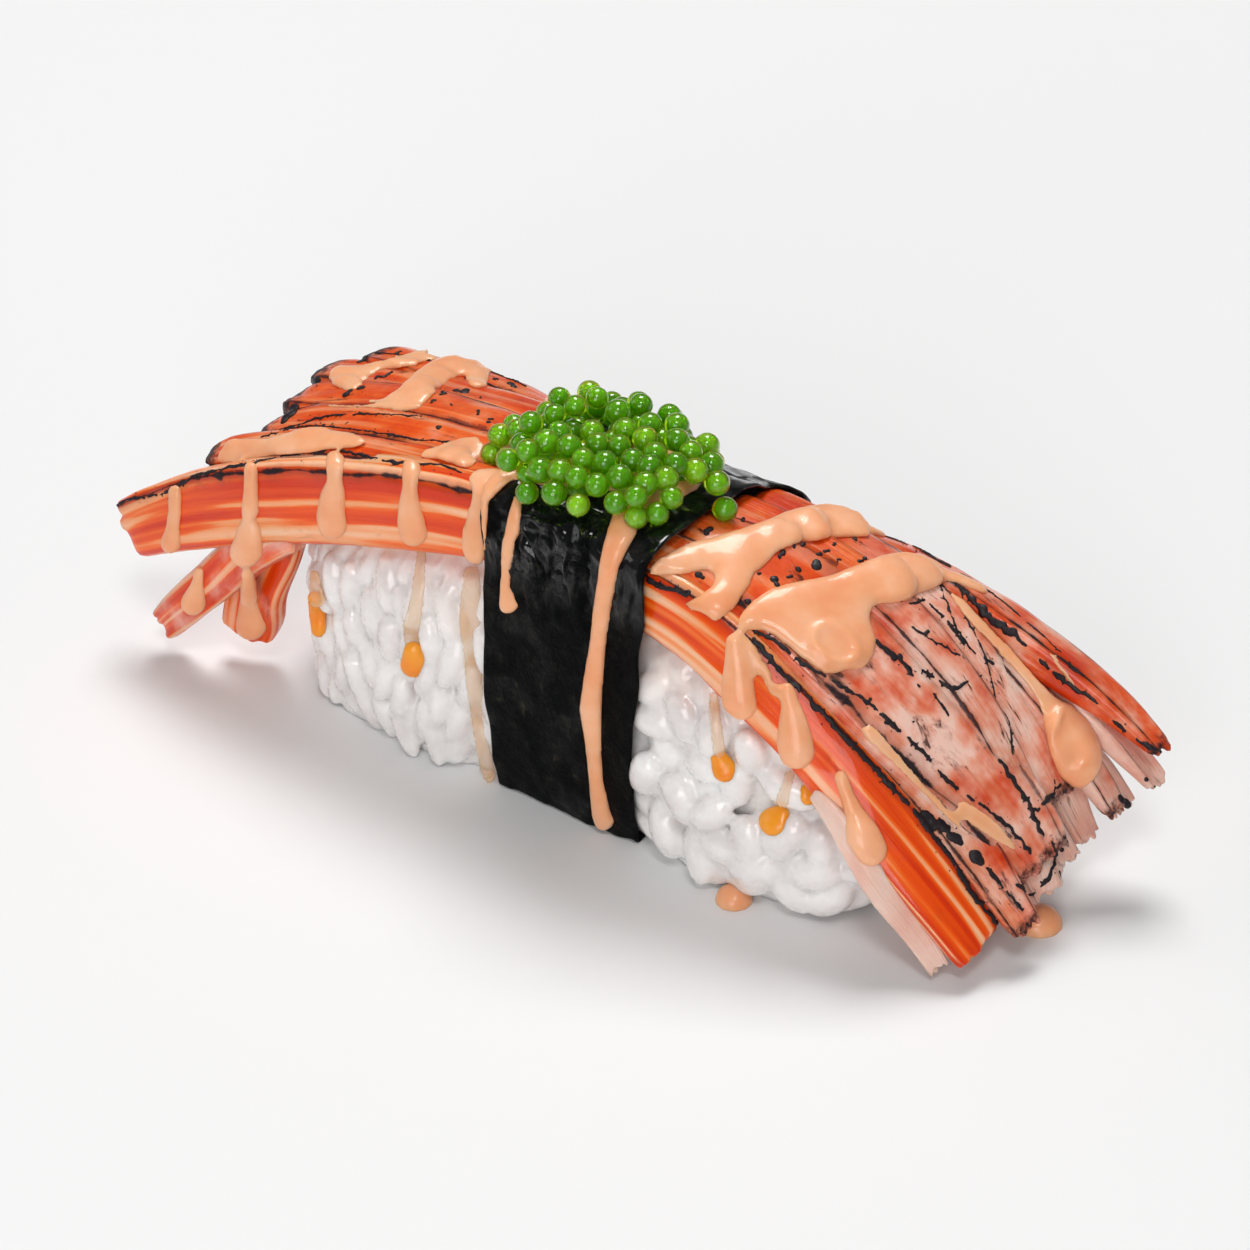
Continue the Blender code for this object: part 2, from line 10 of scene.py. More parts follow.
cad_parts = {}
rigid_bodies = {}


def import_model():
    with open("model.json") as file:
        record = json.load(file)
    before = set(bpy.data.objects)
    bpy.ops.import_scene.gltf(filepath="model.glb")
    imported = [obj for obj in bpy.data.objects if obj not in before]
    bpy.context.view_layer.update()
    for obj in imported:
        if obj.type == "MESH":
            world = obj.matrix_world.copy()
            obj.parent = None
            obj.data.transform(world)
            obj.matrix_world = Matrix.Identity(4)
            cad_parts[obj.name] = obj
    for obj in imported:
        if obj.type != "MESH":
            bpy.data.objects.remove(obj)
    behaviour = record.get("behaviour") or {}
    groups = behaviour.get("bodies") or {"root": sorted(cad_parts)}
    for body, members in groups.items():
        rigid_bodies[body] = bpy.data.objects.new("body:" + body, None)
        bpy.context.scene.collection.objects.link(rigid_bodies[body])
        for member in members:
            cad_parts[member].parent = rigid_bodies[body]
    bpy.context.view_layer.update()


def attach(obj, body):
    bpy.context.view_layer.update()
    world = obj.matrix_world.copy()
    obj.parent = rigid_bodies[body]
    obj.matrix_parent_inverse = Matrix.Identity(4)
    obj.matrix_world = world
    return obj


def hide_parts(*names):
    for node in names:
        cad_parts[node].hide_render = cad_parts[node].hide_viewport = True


# Crab stick nigiri. Pieces are modelled in millimetres and brought down to metres when done.

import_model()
print("frame loaded")


# Common tools

def editMode():
    bpy.ops.object.mode_set(mode="EDIT")


def objectMode():
    bpy.ops.object.mode_set(mode="OBJECT")


def deselectAll():
    if bpy.context.object and bpy.context.object.mode != "OBJECT":
        objectMode()
    bpy.ops.object.select_all(action="DESELECT")


def activate(piece):
    deselectAll()
    piece.select_set(True)
    bpy.context.view_layer.objects.active = piece


def addModifier(piece, name, kind, **settings):
    modifier = piece.modifiers.new(name, kind)
    for key, value in settings.items():
        setattr(modifier, key, value)


def applyModifiers(piece):
    activate(piece)
    for name in [modifier.name for modifier in piece.modifiers]:
        bpy.ops.object.modifier_apply(modifier=name)


def settle(piece):
    activate(piece)
    bpy.ops.object.transform_apply(location=True, rotation=True, scale=True)


def extrudeTo(move, ratio, centre):  # in edit mode: on by a step, and then resized
    bpy.ops.mesh.extrude_region_move(TRANSFORM_OT_translate={"value": move})
    bpy.ops.transform.resize(value=ratio, center_override=centre)


def faceOutwards():  # in edit mode, which it leaves
    bpy.ops.mesh.select_all(action="SELECT")
    bpy.ops.mesh.normals_make_consistent(inside=False)
    objectMode()


def resizeAll(piece, ratio):
    activate(piece)
    editMode()
    bpy.ops.mesh.select_all(action="SELECT")
    bpy.ops.transform.resize(value=ratio, center_override=(0, 0, 0))
    objectMode()


def addBall(subdivisions, radius=1.0):
    deselectAll()
    bpy.ops.mesh.primitive_ico_sphere_add(subdivisions=subdivisions, radius=radius, location=(0, 0, 0))
    return bpy.context.object


def removeAll(pieces):
    for piece in pieces:
        bpy.data.objects.remove(piece)


def joinPieces(pieces, name):
    deselectAll()
    for piece in pieces:
        piece.select_set(True)
    bpy.context.view_layer.objects.active = pieces[0]
    bpy.ops.object.join()
    joined = bpy.context.object
    joined.name = name
    joined.data.name = name
    return joined


def subdivided(piece):
    addModifier(piece, "Smooth surface", "SUBSURF", levels=1, render_levels=1)


def pushed(piece, texture, strength, coords=None, middle=0.5):
    place = {"texture_coords": "OBJECT", "texture_coords_object": coords} if coords else {"texture_coords": "LOCAL"}
    addModifier(piece, "Uneven surface", "DISPLACE", texture=texture, strength=strength, mid_level=middle, **place)


def cloudTexture(name, size, depth=2):
    texture = bpy.data.textures.new(name, "CLOUDS")
    texture.noise_scale = size
    texture.noise_depth = depth
    return texture


def aboveTable(piece):
    for vert in piece.data.vertices:
        vert.co.z = max(vert.co.z, 0.02)


def addObject(name, data):
    piece = bpy.data.objects.new(name, data)
    bpy.context.collection.objects.link(piece)
    return piece


def addEmpty(name, location, scale):
    empty = addObject(name, None)
    empty.location = location
    empty.scale = scale
    return empty


def polyCurve(name, places, **settings):
    curve = bpy.data.curves.new(name, "CURVE")
    for key, value in settings.items():
        setattr(curve, key, value)
    spline = curve.splines.new("POLY")
    spline.points.add(len(places) - 1)
    for point, place in zip(spline.points, places):
        point.co = (*place, 1.0)
    return addObject(name, curve), spline


def addMark(mesh, name, values):
    mesh.attributes.new(name, "FLOAT", "POINT").data.foreach_set("value", values)


def melted(piece, voxel, rounds, kept=None):  # overlapping copies run into one skin, which is then smoothed
    addModifier(piece, "Run together", "REMESH", mode="VOXEL", voxel_size=voxel)
    addModifier(piece, "Relax", "SMOOTH", factor=0.5, iterations=rounds)
    if kept:
        addModifier(piece, "Fewer faces", "DECIMATE", ratio=kept)
    applyModifiers(piece)
    aboveTable(piece)
    bpy.ops.object.shade_smooth()


def lerp(a, b, t):
    return a + (b - a) * t


def throughThree(values, t):  # a parabola through the values at the start, half-way and the end
    first, middle, last = values
    return first * (1 - t) * (1 - 2 * t) + middle * 4 * t * (1 - t) + last * t * (2 * t - 1)


def treeOf(pieces):  # rounded to 0.01 mm and sorted, so that every run finds the same nearest faces
    verts, faces = [], []
    for piece in pieces:
        start = len(verts)
        spots = [tuple(round(value, 2) for value in vert.co) for vert in piece.data.vertices]
        order = sorted(range(len(spots)), key=spots.__getitem__)
        rank = {old: start + new for new, old in enumerate(order)}
        verts += [spots[old] for old in order]
        for face in piece.data.polygons:
            ring = [rank[old] for old in face.vertices]
            first = ring.index(min(ring))
            faces.append(ring[first:] + ring[:first])
    return BVHTree.FromPolygons(verts, sorted(faces))


def scatterCopies(name, models, places, seeds):  # every copy keeps a random number for its colour
    points, loops, sizes, marks = [], [], [], []
    count = 0
    for (index, matrix), seed in zip(places, seeds):
        mesh = models[index].data
        flat = np.empty(len(mesh.vertices) * 3)
        mesh.vertices.foreach_get("co", flat)
        placed = flat.reshape(-1, 3) @ np.array(matrix.to_3x3()).T + np.array(matrix.translation)
        points.append(placed)
        order = np.empty(len(mesh.loops), dtype=np.int32)
        mesh.loops.foreach_get("vertex_index", order)
        loops.append(order + count)
        total = np.empty(len(mesh.polygons), dtype=np.int32)
        mesh.polygons.foreach_get("loop_total", total)
        sizes.append(total)
        marks.append(np.full(len(placed), seed))
        count += len(placed)
    mesh = bpy.data.meshes.new(name)
    points, loops = np.concatenate(points), np.concatenate(loops)
    sizes, marks = np.concatenate(sizes), np.concatenate(marks)
    mesh.vertices.add(len(points))
    mesh.vertices.foreach_set("co", points.ravel())
    mesh.loops.add(len(loops))
    mesh.loops.foreach_set("vertex_index", loops)
    mesh.polygons.add(len(sizes))
    starts = np.concatenate(([0], np.cumsum(sizes)[:-1])).astype(np.int32)
    mesh.polygons.foreach_set("loop_start", starts)
    mesh.update(calc_edges=True)
    mesh.validate()
    addMark(mesh, "seed", marks)
    piece = addObject(name, mesh)
    activate(piece)
    bpy.ops.object.shade_smooth()
    return piece


# Node helpers

class Signal:  # a node's output: +, - and * with a number or another signal make a math node

    def __init__(self, tree, node, output):
        self.tree, self.node, self.socket = tree, node, node.outputs[output]

    def __add__(self, other):
        return calc("ADD", self, other)

    def __sub__(self, other):
        return calc("SUBTRACT", self, other)

    def __mul__(self, other):
        return calc("MULTIPLY", self, other)


def feed(tree, node, values):
    for key, value in values.items():
        if isinstance(value, Signal):
            tree.links.new(value.socket, node.inputs[key])
        else:
            node.inputs[key].default_value = value


def addNode(tree, kind, values=None, output=0, **settings):
    node = tree.nodes.new(kind)
    for key, value in settings.items():
        setattr(node, key, value)
    feed(tree, node, values or {})
    return Signal(tree, node, output)


def calc(operation, a, b=0.0, clamp=False):
    return addNode(a.tree, "ShaderNodeMath", {0: a, 1: b}, operation=operation, use_clamp=clamp)


def greatest(first, *others):
    for other in others:
        first = calc("MAXIMUM", first, other)
    return first


def mixed(factor, a, b):
    return addNode(factor.tree, "ShaderNodeMix", {0: factor, 6: a, 7: b}, 2, data_type="RGBA")


def ramped(factor, stops):
    ramp = addNode(factor.tree, "ShaderNodeValToRGB", {0: factor})
    elements = ramp.node.color_ramp.elements
    while len(elements) < len(stops):
        elements.new(0.5)
    for element, (position, colour) in zip(elements, stops):
        element.position = position
        element.color = (*colour, 1.0)
    return ramp


def ranged(value, low, high, toLow=0.0, toHigh=1.0):
    values = {0: value, 1: low, 2: high, 3: toLow, 4: toHigh}
    return addNode(value.tree, "ShaderNodeMapRange", values, interpolation_type="SMOOTHSTEP")


def noised(vector, scale, detail=2.0, roughness=0.5, distortion=0.0):
    values = {"Vector": vector, "Scale": scale, "Detail": detail, "Roughness": roughness, "Distortion": distortion}
    return addNode(vector.tree, "ShaderNodeTexNoise", values)


def scaled(vector, factor):
    return addNode(vector.tree, "ShaderNodeVectorMath", {0: vector, 1: factor}, operation="MULTIPLY")


def combined(x, y, z):
    return addNode(x.tree, "ShaderNodeCombineXYZ", {0: x, 1: y, 2: z})


def split(vector):
    node = addNode(vector.tree, "ShaderNodeSeparateXYZ", {0: vector}).node
    return [Signal(vector.tree, node, output) for output in range(3)]


def marked(tree, name):
    return addNode(tree, "ShaderNodeAttribute", output="Fac", attribute_name=name)


def bumped(height, distance, strength, normal=None):
    values = {"Height": height, "Distance": distance, "Strength": strength}
    if normal:
        values["Normal"] = normal
    return addNode(height.tree, "ShaderNodeBump", values)


def newMaterial(name):
    material = bpy.data.materials.new(name)
    material.use_nodes = True
    return material, addNode(material.node_tree, "ShaderNodeTexCoord", output="Object")


def shaded(material, values):
    feed(material.node_tree, material.node_tree.nodes["Principled BSDF"], values)
    return material


def makeMottle():  # slow and fine unevenness, used by every wet surface
    group = bpy.data.node_groups.new("mottle", "ShaderNodeTree")
    for name, kind in (("Vector", "NodeSocketVector"), ("Coarse", "NodeSocketFloat"), ("Fine", "NodeSocketFloat")):
        group.interface.new_socket(name=name, in_out="INPUT", socket_type=kind)
    for name in ("Slow", "Quick", "Height"):
        group.interface.new_socket(name=name, in_out="OUTPUT", socket_type="NodeSocketFloat")
    start, end = group.nodes.new("NodeGroupInput"), group.nodes.new("NodeGroupOutput")
    vector, coarse, fine = (Signal(group, start, name) for name in ("Vector", "Coarse", "Fine"))
    slow, quick = noised(vector, coarse, 3.0, 0.55), noised(vector, fine, 4.0, 0.6)
    feed(group, end, {"Slow": slow, "Quick": quick, "Height": slow * 0.7 + quick * 0.3})
    return group


mottle = makeMottle()


def mottled(vector, coarse, fine):
    values = {"Vector": vector, "Coarse": coarse, "Fine": fine}
    node = addNode(vector.tree, "ShaderNodeGroup", values, node_tree=mottle).node
    return [Signal(vector.tree, node, name) for name in ("Slow", "Quick", "Height")]


# Camera: the photograph's own view

view = {
    "azimuth": 37.0, "elevation": 33.0,   # degrees, from the front towards +X, and up
    "target": (0.07, -3.39, 16.09), "distance": 391.3,   # mm
    "lens": 129.6, "sensor": 36.0,
    "photo": 1250,   # pixels, each way
}

azimuth, elevation = math.radians(view["azimuth"]), math.radians(view["elevation"])
flat = math.cos(elevation)
towardsCamera = Vector((math.sin(azimuth) * flat, -math.cos(azimuth) * flat, math.sin(elevation)))
eye = Vector(view["target"]) + towardsCamera * view["distance"]
eyeTurn = towardsCamera.to_track_quat("Z", "Y").to_matrix()
photoPitch = view["photo"] * view["lens"] / view["sensor"] / view["distance"]   # pixels in a mm at the target


def photoRay(px, py):
    reach = view["sensor"] / view["lens"] / view["photo"]
    half = view["photo"] / 2
    return (eyeTurn @ Vector(((px - half) * reach, (half - py) * reach, -1.0))).normalized()


deselectAll()
bpy.ops.object.camera_add(location=eye * 0.001, rotation=eyeTurn.to_euler())
camera = bpy.context.object
camera.data.lens = view["lens"]
camera.data.sensor_width = view["sensor"]
camera.data.clip_start = 0.01
bpy.context.scene.camera = camera
print("camera placed")


# Rice core: a pressed loaf

rice = {
    "middle": -1.0,   # x, mm
    "length": 64.0, "width": 24.4, "height": 21.8,
    "backSlope": 0.26,
    "levels": (0.0, 0.08, 0.18, 0.32, 0.5, 0.68, 0.82, 0.92, 1.0),
    "tuck": (0.5, 0.03, 0.02),       # drawn in below this share of the height: shares of length and width
    "shoulder": (0.5, 0.36, 0.16),   # and rounded above this one
    "pinch": (13.5, 0.055, 0.10),    # the band's reach in mm, how far it draws the sides in, and more at the foot
    "open": 40.0,                    # an x that is clear of the band
    "seed": 29, "modelSeed": 4, "models": 5,
    "grain": (1.25, 1.1, 2.9),       # half width, thickness and length
    "blunt": 1.9,                    # mm from a grain's middle
    "layers": ((-0.75, 1.7, 3.2, 4000), (0.0, 2.1, 4.3, 9000)),   # depth, room across and along, tries
    "sizes": (0.88, 1.08),
    "draws": (0.9, 0.12, 0.2),       # towards the top, out of the surface, and off it in mm
    "bare": (0.93, 0.7, 0.9, 0.3),   # few grains above this level: share left out; above this one they lean up
    "clear": (0.4, 0.3),             # mm kept free left and right of the band
    "swollen": (1.22, 1.16, 0.78),   # right of the band: size, and then width and length
    "leans": (18, 50),               # degrees, at the front left and elsewhere
    "foot": (8, 9, 0.7),             # plumper right of this x and below this z, by so much
    "underCrab": (0.35, 0.55, 2.5),  # grains sink in such steps until they are so clear of what is so near
    "cling": 0.82, "uneven": 0.3,    # mm: how far the mass fills the gaps between the grains, more or less
    "voxel": 0.25, "kept": 0.56,     # mm, and the share of the faces kept
}


def riceTop(y):
    return rice["height"] - rice["backSlope"] * max(0.0, y + 1.0)


def riceSpread(height, x):
    foot, tuckLength, tuckWidth = rice["tuck"]
    start, roundLength, roundWidth = rice["shoulder"]
    reach, drawn, drawnFoot = rice["pinch"]
    tuck = max(0.0, 1 - height / foot) ** 2
    shoulder = max(0.0, (height - start) / start)
    underBand = max(0.0, 1 - (x / reach) ** 8)
    pinch = (drawn + drawnFoot * tuck) * underBand
    halfLength = rice["length"] / 2 * (1 - tuckLength * tuck) * (1 - roundLength * shoulder ** 2.4)
    halfWidth = rice["width"] / 2 * (1 - tuckWidth * tuck - pinch) * (1 - roundWidth * shoulder ** 4)
    return halfLength, halfWidth


def ricePoint(angle, height):
    x, y = math.cos(angle), math.sin(angle)
    reach = (x ** 4 + y ** 4) ** -0.25
    x = rice["middle"] + x * reach * riceSpread(height, 0.0)[0]
    y *= reach * riceSpread(height, x)[1]
    return Vector((x, y, height * riceTop(y)))


def makeRiceCore():
    deselectAll()
    bpy.ops.mesh.primitive_plane_add(size=2.0)
    core = bpy.context.object
    core.name = "riceCore"
    editMode()
    bpy.ops.mesh.subdivide(number_cuts=15)
    bpy.ops.transform.tosphere(value=0.45)
    spreads = [riceSpread(level, rice["open"]) for level in rice["levels"]]
    bpy.ops.transform.resize(value=(*spreads[0], 1.0), center_override=(0, 0, 0))
    steps = zip(rice["levels"], rice["levels"][1:], spreads, spreads[1:])
    for before, level, (oldX, oldY), (newX, newY) in steps:
        rise = (level - before) * rice["height"]
        extrudeTo((0, 0, rise), (newX / oldX, newY / oldY, 1.0), (0, 0, 0))
    faceOutwards()
    for vert in core.data.vertices:  # the top falls to the back, and the band draws the middle in
        level = vert.co.z / rice["height"]
        vert.co.y *= riceSpread(level, vert.co.x)[1] / riceSpread(level, rice["open"])[1]
        vert.co.z = level * riceTop(vert.co.y)
        vert.co.x += rice["middle"]
    pushed(core, cloudTexture("core lumps", 3.0), 0.7)
    applyModifiers(core)
    aboveTable(core)
    bpy.ops.object.shade_smooth()
    return core


riceCore = makeRiceCore()
print("rice core made")


# Crab sticks: each is a straight bar under the band and strips torn out of it

# a strip: root, tip, widths and depths at the root, half-way and the tip in mm, tilt in degrees, droop, bow
crabSticks = {
    "crabStickFront": {
        "bar": (-9.0, 26.8, 6.2, 7.4, 0),
        "strips": {
            "leftFace": ((-7, -9.2, 26.6), (-49.9, -11.4, 11.5), (7.2, 8.4, 6.0), (5.4, 5.0, 3.6), (88, 80), 1.75, 0),
            "leftTop": ((-8, -8.6, 27.4), (-43, -8.5, 19.6), (4.6, 4.4, 2.8), (5.0, 4.2, 2.4), (8, 15), 2.4, 0),
            "leftBranch": ((-31, -11.3, 18.6), (-46, -12, 2.9), (4.6, 4.4, 3.2), (3.0, 2.8, 2.4), (90, 90), 1.2, 0),
            "leftHanging": ((-33, -9, 20.5), (-39.3, -8.9, 2.8), (4.4, 7.2, 5.2), (2.4, 2.2, 2.0), (90, 90), 1.3, 0),
            "rightFace": ((6, -9.5, 26.2), (40.8, -8.6, 2.6), (6.8, 6.4, 5.6), (5.2, 3.4, 1.6), (88, 28), 1.75, -1.2),
            "rightFlap": ((26.5, -12.3, 14.4), (38.6, -11.4, 1.3), (1, 2.6, 2), (1.2, 1, 0.8), (62, 40), 1.3, -0.8),
            "rightTop": ((7, -8.6, 27.9), (43.0, -4.8, 3.6), (4.6, 6.2, 3.2), (5.4, 3.0, 1.2), (10, 28), 1.75, 0),
        },
    },
    "crabStickMiddle": {
        "bar": (-1.3, 26.4, 9.4, 7.6, -7),
        "strips": {
            "leftInner": ((-8, -3.6, 27.2), (-40, -4.2, 21.8), (5.0, 5.8, 4.0), (5.0, 4.0, 2.2), (6, 12), 2.4, 0),
            "leftOuter": ((-8, 0.7, 26.8), (-40.6, 0.0, 22.7), (5.2, 6.0, 4.4), (5.0, 4.4, 2.6), (-4, 4), 2.6, 0),
            "rightSlab": ((8, -4.8, 27.5), (41.6, -0.8, 7.1), (6.5, 12.5, 6.5), (6.2, 3.8, 1.5), (4, 26), 2.0, -1.0),
            "rightMiddle": ((8, 0.3, 27.1), (40.8, 2.0, 7.9), (5.4, 5.0, 2.4), (5.8, 4.2, 1.5), (-4, 14), 2.6, 0),
            "underFront": ((26, -2.6, 19.6), (42.2, -0.5, 4.4), (4.4, 4.8, 3.6), (2.6, 2.2, 1.0), (0, 20), 1.5, 0),
            "underMiddle": ((26, 1.2, 20.8), (41.9, 3.0, 5.5), (4.4, 4.4, 3.2), (2.6, 2.2, 1.0), (0, 14), 1.6, 0),
        },
    },
    "crabStickBack": {
        "bar": (6.0, 22.7, 7.0, 5.6, -27),
        "strips": {
            "leftNear": ((-8, 5.0, 25.7), (-41.2, 4.4, 22.8), (5.2, 6.4, 4.8), (4.6, 4.6, 3.0), (-14, 0), 2.6, 0),
            "leftFar": ((-9.5, 7.8, 23.2), (-38.2, 8.4, 24.0), (5.4, 7.6, 5.4), (4.6, 6.4, 3.2), (-28, -6), 3.0, 0),
            "rightNear": ((8, 4.6, 26.0), (39.6, 4.8, 10.1), (4.8, 6.4, 4.6), (5.6, 4.2, 1.4), (-12, 8), 2.6, 0),
            "rightFar": ((8, 7.6, 23.7), (43.3, 8.0, 8.5), (4.6, 4.8, 2.4), (5.2, 4.4, 1.4), (-24, 4), 2.5, 0),
            "rightRim": ((10.5, 8.8, 22.8), (45.2, 11.8, 13.2), (4.0, 5.8, 2.2), (4.4, 4.2, 1.0), (-32, -8), 2.4, 0),
            "underNear": ((26, 5.4, 20.6), (41.6, 7.0, 5.9), (4.4, 4.4, 3.2), (2.6, 2.2, 1.0), (-10, 8), 1.6, 0),
            "underFar": ((26, 8.4, 19.4), (43.0, 9.8, 7.7), (4.4, 4.4, 3.2), (2.6, 2.2, 1.0), (-20, 0), 1.6, 0),
            "underRim": ((27, 10.4, 19.0), (45.1, 11.7, 9.9), (3.0, 3.2, 2.6), (2.6, 2.2, 1.0), (-25, 0), 1.6, 0),
        },
    },
}

stripLooks = {   # pale flesh, torched front edge, torched back edge, torched patches, striped side
    "leftFace": (0.05, 0.0, 1.0, 0.1, 1.0),
    "leftTop": (0.12, 0.9, 0.8, 0.3, 0.5),
    "leftBranch": (0.3, 0.0, 0.1, 0.0, 0.9),
    "leftHanging": (0.2, 0.0, 0.0, 0.2, 0.8),
    "rightFace": (0.1, 0.0, 0.9, 0.1, 1.0),
    "rightFlap": (1.0, 0.0, 0.0, 0.0, 0.0),
    "rightTop": (0.4, 0.9, 0.7, 0.5, 0.4),
    "leftInner": (0.14, 0.9, 0.9, 0.4, 0.4),
    "leftOuter": (0.12, 0.9, 0.9, 0.5, 0.4),
    "rightSlab": (0.55, 1.0, 0.6, 0.8, 0.25),
    "rightMiddle": (0.6, 0.9, 0.5, 1.0, 0.2),
    "leftNear": (0.1, 0.9, 0.8, 0.6, 0.3),
    "leftFar": (0.05, 0.9, 0.7, 0.6, 0.2),
    "rightNear": (0.6, 0.8, 0.6, 0.9, 0.2),
    "rightFar": (0.6, 0.9, 0.6, 0.7, 0.2),
    "rightRim": (0.3, 1.0, 0.5, 0.6, 0.2),
}
roundTips = ("leftTop", "leftInner", "leftOuter", "leftNear", "leftFar")
underLook = (0.9, 0.3, 0.3, 0.4, 0.1)
barLook = (0.05, 0.2, 0.2, 0.6, 0.3)

strip = {
    "seed": 17, "stations": 26,
    "bar": (10.4, 0.7),            # half length in mm, and the share of its width and depth at its ends
    "waver": 0.22, "curl": 3,      # mm and degrees
    "blunt": (0.92, 0.08, 0.5),    # a rounded tip: from this share of the length, over this one, narrower by so much
    "frays": (6, (0.3, 1.0), 0.7, 0.8),   # torn faces, their shares of the longest one, it in mm, and their taper
    "fibres": (0.45, 0.7, 9),      # height in mm, the share of it right of the band, and how drawn out
    "lumps": (0.5, 2.5),           # height in mm, and how drawn out
    "offRice": 0.7,                # mm kept between crab and rice core
}

draw = random.Random(strip["seed"])
fibreTexture = cloudTexture("fibres", 1.5, 3)
lumpTexture = cloudTexture("strip lumps", 3.2, 1)


def stripPath(root, tip, droop, bow, tilt, phase):  # from the lowest x up, each place with its share of the way
    root, tip = Vector(root), Vector(tip)
    places = []
    for k in range(strip["stations"] + 1):
        t = k / strip["stations"]
        place = root.lerp(tip, t)
        place.z = lerp(root.z, tip.z, t ** droop)
        place.y += bow * math.sin(math.pi * t) + strip["waver"] * math.sin(9 * t + phase) * t
        place.z += strip["waver"] * math.sin(7 * t + 2 * phase) * t
        turn = lerp(tilt[0], tilt[1], t) + strip["curl"] * math.sin(8 * t + phase)
        places.append((place, t, math.radians(turn)))
    return places if tip.x > root.x else places[::-1]


def frayTip(piece, tipX, away):  # faces of the torn end that stand out
    count, shares, longest, taper = strip["frays"]
    ends = [face.index for face in piece.data.polygons
            if abs(face.normal.x) > 0.9 and abs(face.center.x - tipX) < 0.01]
    for index in draw.sample(ends, count):
        for part in (piece.data.polygons, piece.data.edges, piece.data.vertices):
            part.foreach_set("select", [False] * len(part))
        face = piece.data.polygons[index]
        face.select = True
        centre = face.center.copy()
        editMode()
        extrudeTo((away * draw.uniform(*shares) * longest, 0, 0), (1, taper, taper), centre)
        objectMode()


def mapStrip(mesh, lengths, sizes, tipX):  # distance from the tip in cm, and the way round, starting underneath
    layer = mesh.uv_layers.new(name="strip")
    for face in mesh.polygons:
        corners = [mesh.vertices[index].co for index in face.vertices]
        turns = []
        for co in corners:
            k = min(range(len(lengths)), key=lambda k: abs(lengths[k] - co.x))
            turns.append(math.atan2(co.y / sizes[k][0], co.z / sizes[k][1]) / (2 * math.pi) + 0.5)
        wraps = max(turns) - min(turns) > 0.5
        for index, co, turn in zip(face.loop_indices, corners, turns):
            layer.data[index].uv = (abs(co.x - tipX) / 10, turn + 1.0 if wraps and turn < 0.5 else turn)


def makeStrip(name, root, tip, width, depth, tilt, droop, bow, look, frayed=True):
    phase = draw.uniform(0, 6.28)
    places = stripPath(root, tip, droop, bow, tilt, phase)
    lengths = [0.0]
    for near, far in zip(places, places[1:]):
        lengths.append(lengths[-1] + (far[0] - near[0]).length)
    start, over, narrower = strip["blunt"]
    sizes = []
    for place, t, turn in places:
        share = 1.0 if frayed else 1 - narrower * max(0.0, (t - start) / over) ** 2
        sizes.append((share * throughThree(width, t), share * throughThree(depth, t)))
    deselectAll()
    bpy.ops.mesh.primitive_plane_add(size=1.0, rotation=(0, math.radians(90), 0))
    piece = bpy.context.object
    piece.name = name
    settle(piece)
    editMode()
    bpy.ops.mesh.subdivide(number_cuts=3)
    bpy.ops.transform.tosphere(value=0.28)
    bpy.ops.transform.resize(value=(1, *sizes[0]), center_override=(0, 0, 0))
    for near, far, (oldWidth, oldDepth), (newWidth, newDepth) in zip(lengths, lengths[1:], sizes, sizes[1:]):
        extrudeTo((far - near, 0, 0), (1, newWidth / oldWidth, newDepth / oldDepth), (far, 0, 0))
    faceOutwards()
    tipLeft = tip[0] < root[0]
    tipX, away = (0.0, -1) if tipLeft else (lengths[-1], 1)
    if frayed:
        frayTip(piece, tipX, away)
    mapStrip(piece.data, lengths, sizes, tipX)
    for key, value in zip(("pale", "charFront", "charBack", "charPatch", "striped", "seed"), (*look, draw.random())):
        addMark(piece.data, key, [value] * len(piece.data.vertices))
    subdivided(piece)
    height, rightShare, stretch = strip["fibres"]
    drawnOut = addEmpty("stretch", (draw.uniform(0, 90), draw.uniform(0, 40), 0), (stretch, 1, 1))
    pushed(piece, fibreTexture, height * (1.0 if tipLeft else rightShare), drawnOut)
    height, stretch = strip["lumps"]
    pushed(piece, lumpTexture, height, addEmpty("lumps", (draw.uniform(0, 90), 0, 0), (stretch, 1, 1)))
    guide, spline = polyCurve("path", [place for place, t, turn in places], dimensions="3D", twist_mode="Z_UP")
    for point, (place, t, turn) in zip(spline.points, places):
        point.tilt = turn
    addModifier(piece, "Bend", "CURVE", object=guide, deform_axis="POS_X")
    addModifier(piece, "Off the rice", "SHRINKWRAP", target=riceCore, wrap_method="NEAREST_SURFACEPOINT",
                wrap_mode="OUTSIDE", offset=strip["offRice"])
    applyModifiers(piece)
    bpy.ops.object.shade_smooth()
    removeAll([item for item in bpy.data.objects if item.name.startswith(("stretch", "lumps", "path"))])
    return piece


def makeCrabStick(name, spec):
    y, z, width, depth, slant = spec["bar"]
    half, ends = strip["bar"]
    pieces = [makeStrip(name + "Bar", (-half, y, z), (half, y, z), (ends * width, width, ends * width),
                        (ends * depth, depth, ends * depth), (slant, slant), 1.0, 0, barLook, False)]
    for key, values in spec["strips"].items():
        pieces.append(makeStrip(key, *values, stripLooks.get(key, underLook), key not in roundTips))
    return joinPieces(pieces, name)


crab = {name: makeCrabStick(name, spec) for name, spec in crabSticks.items()}
for name, piece in crab.items():
    print(name, len(piece.data.polygons), "faces")


# Nori band

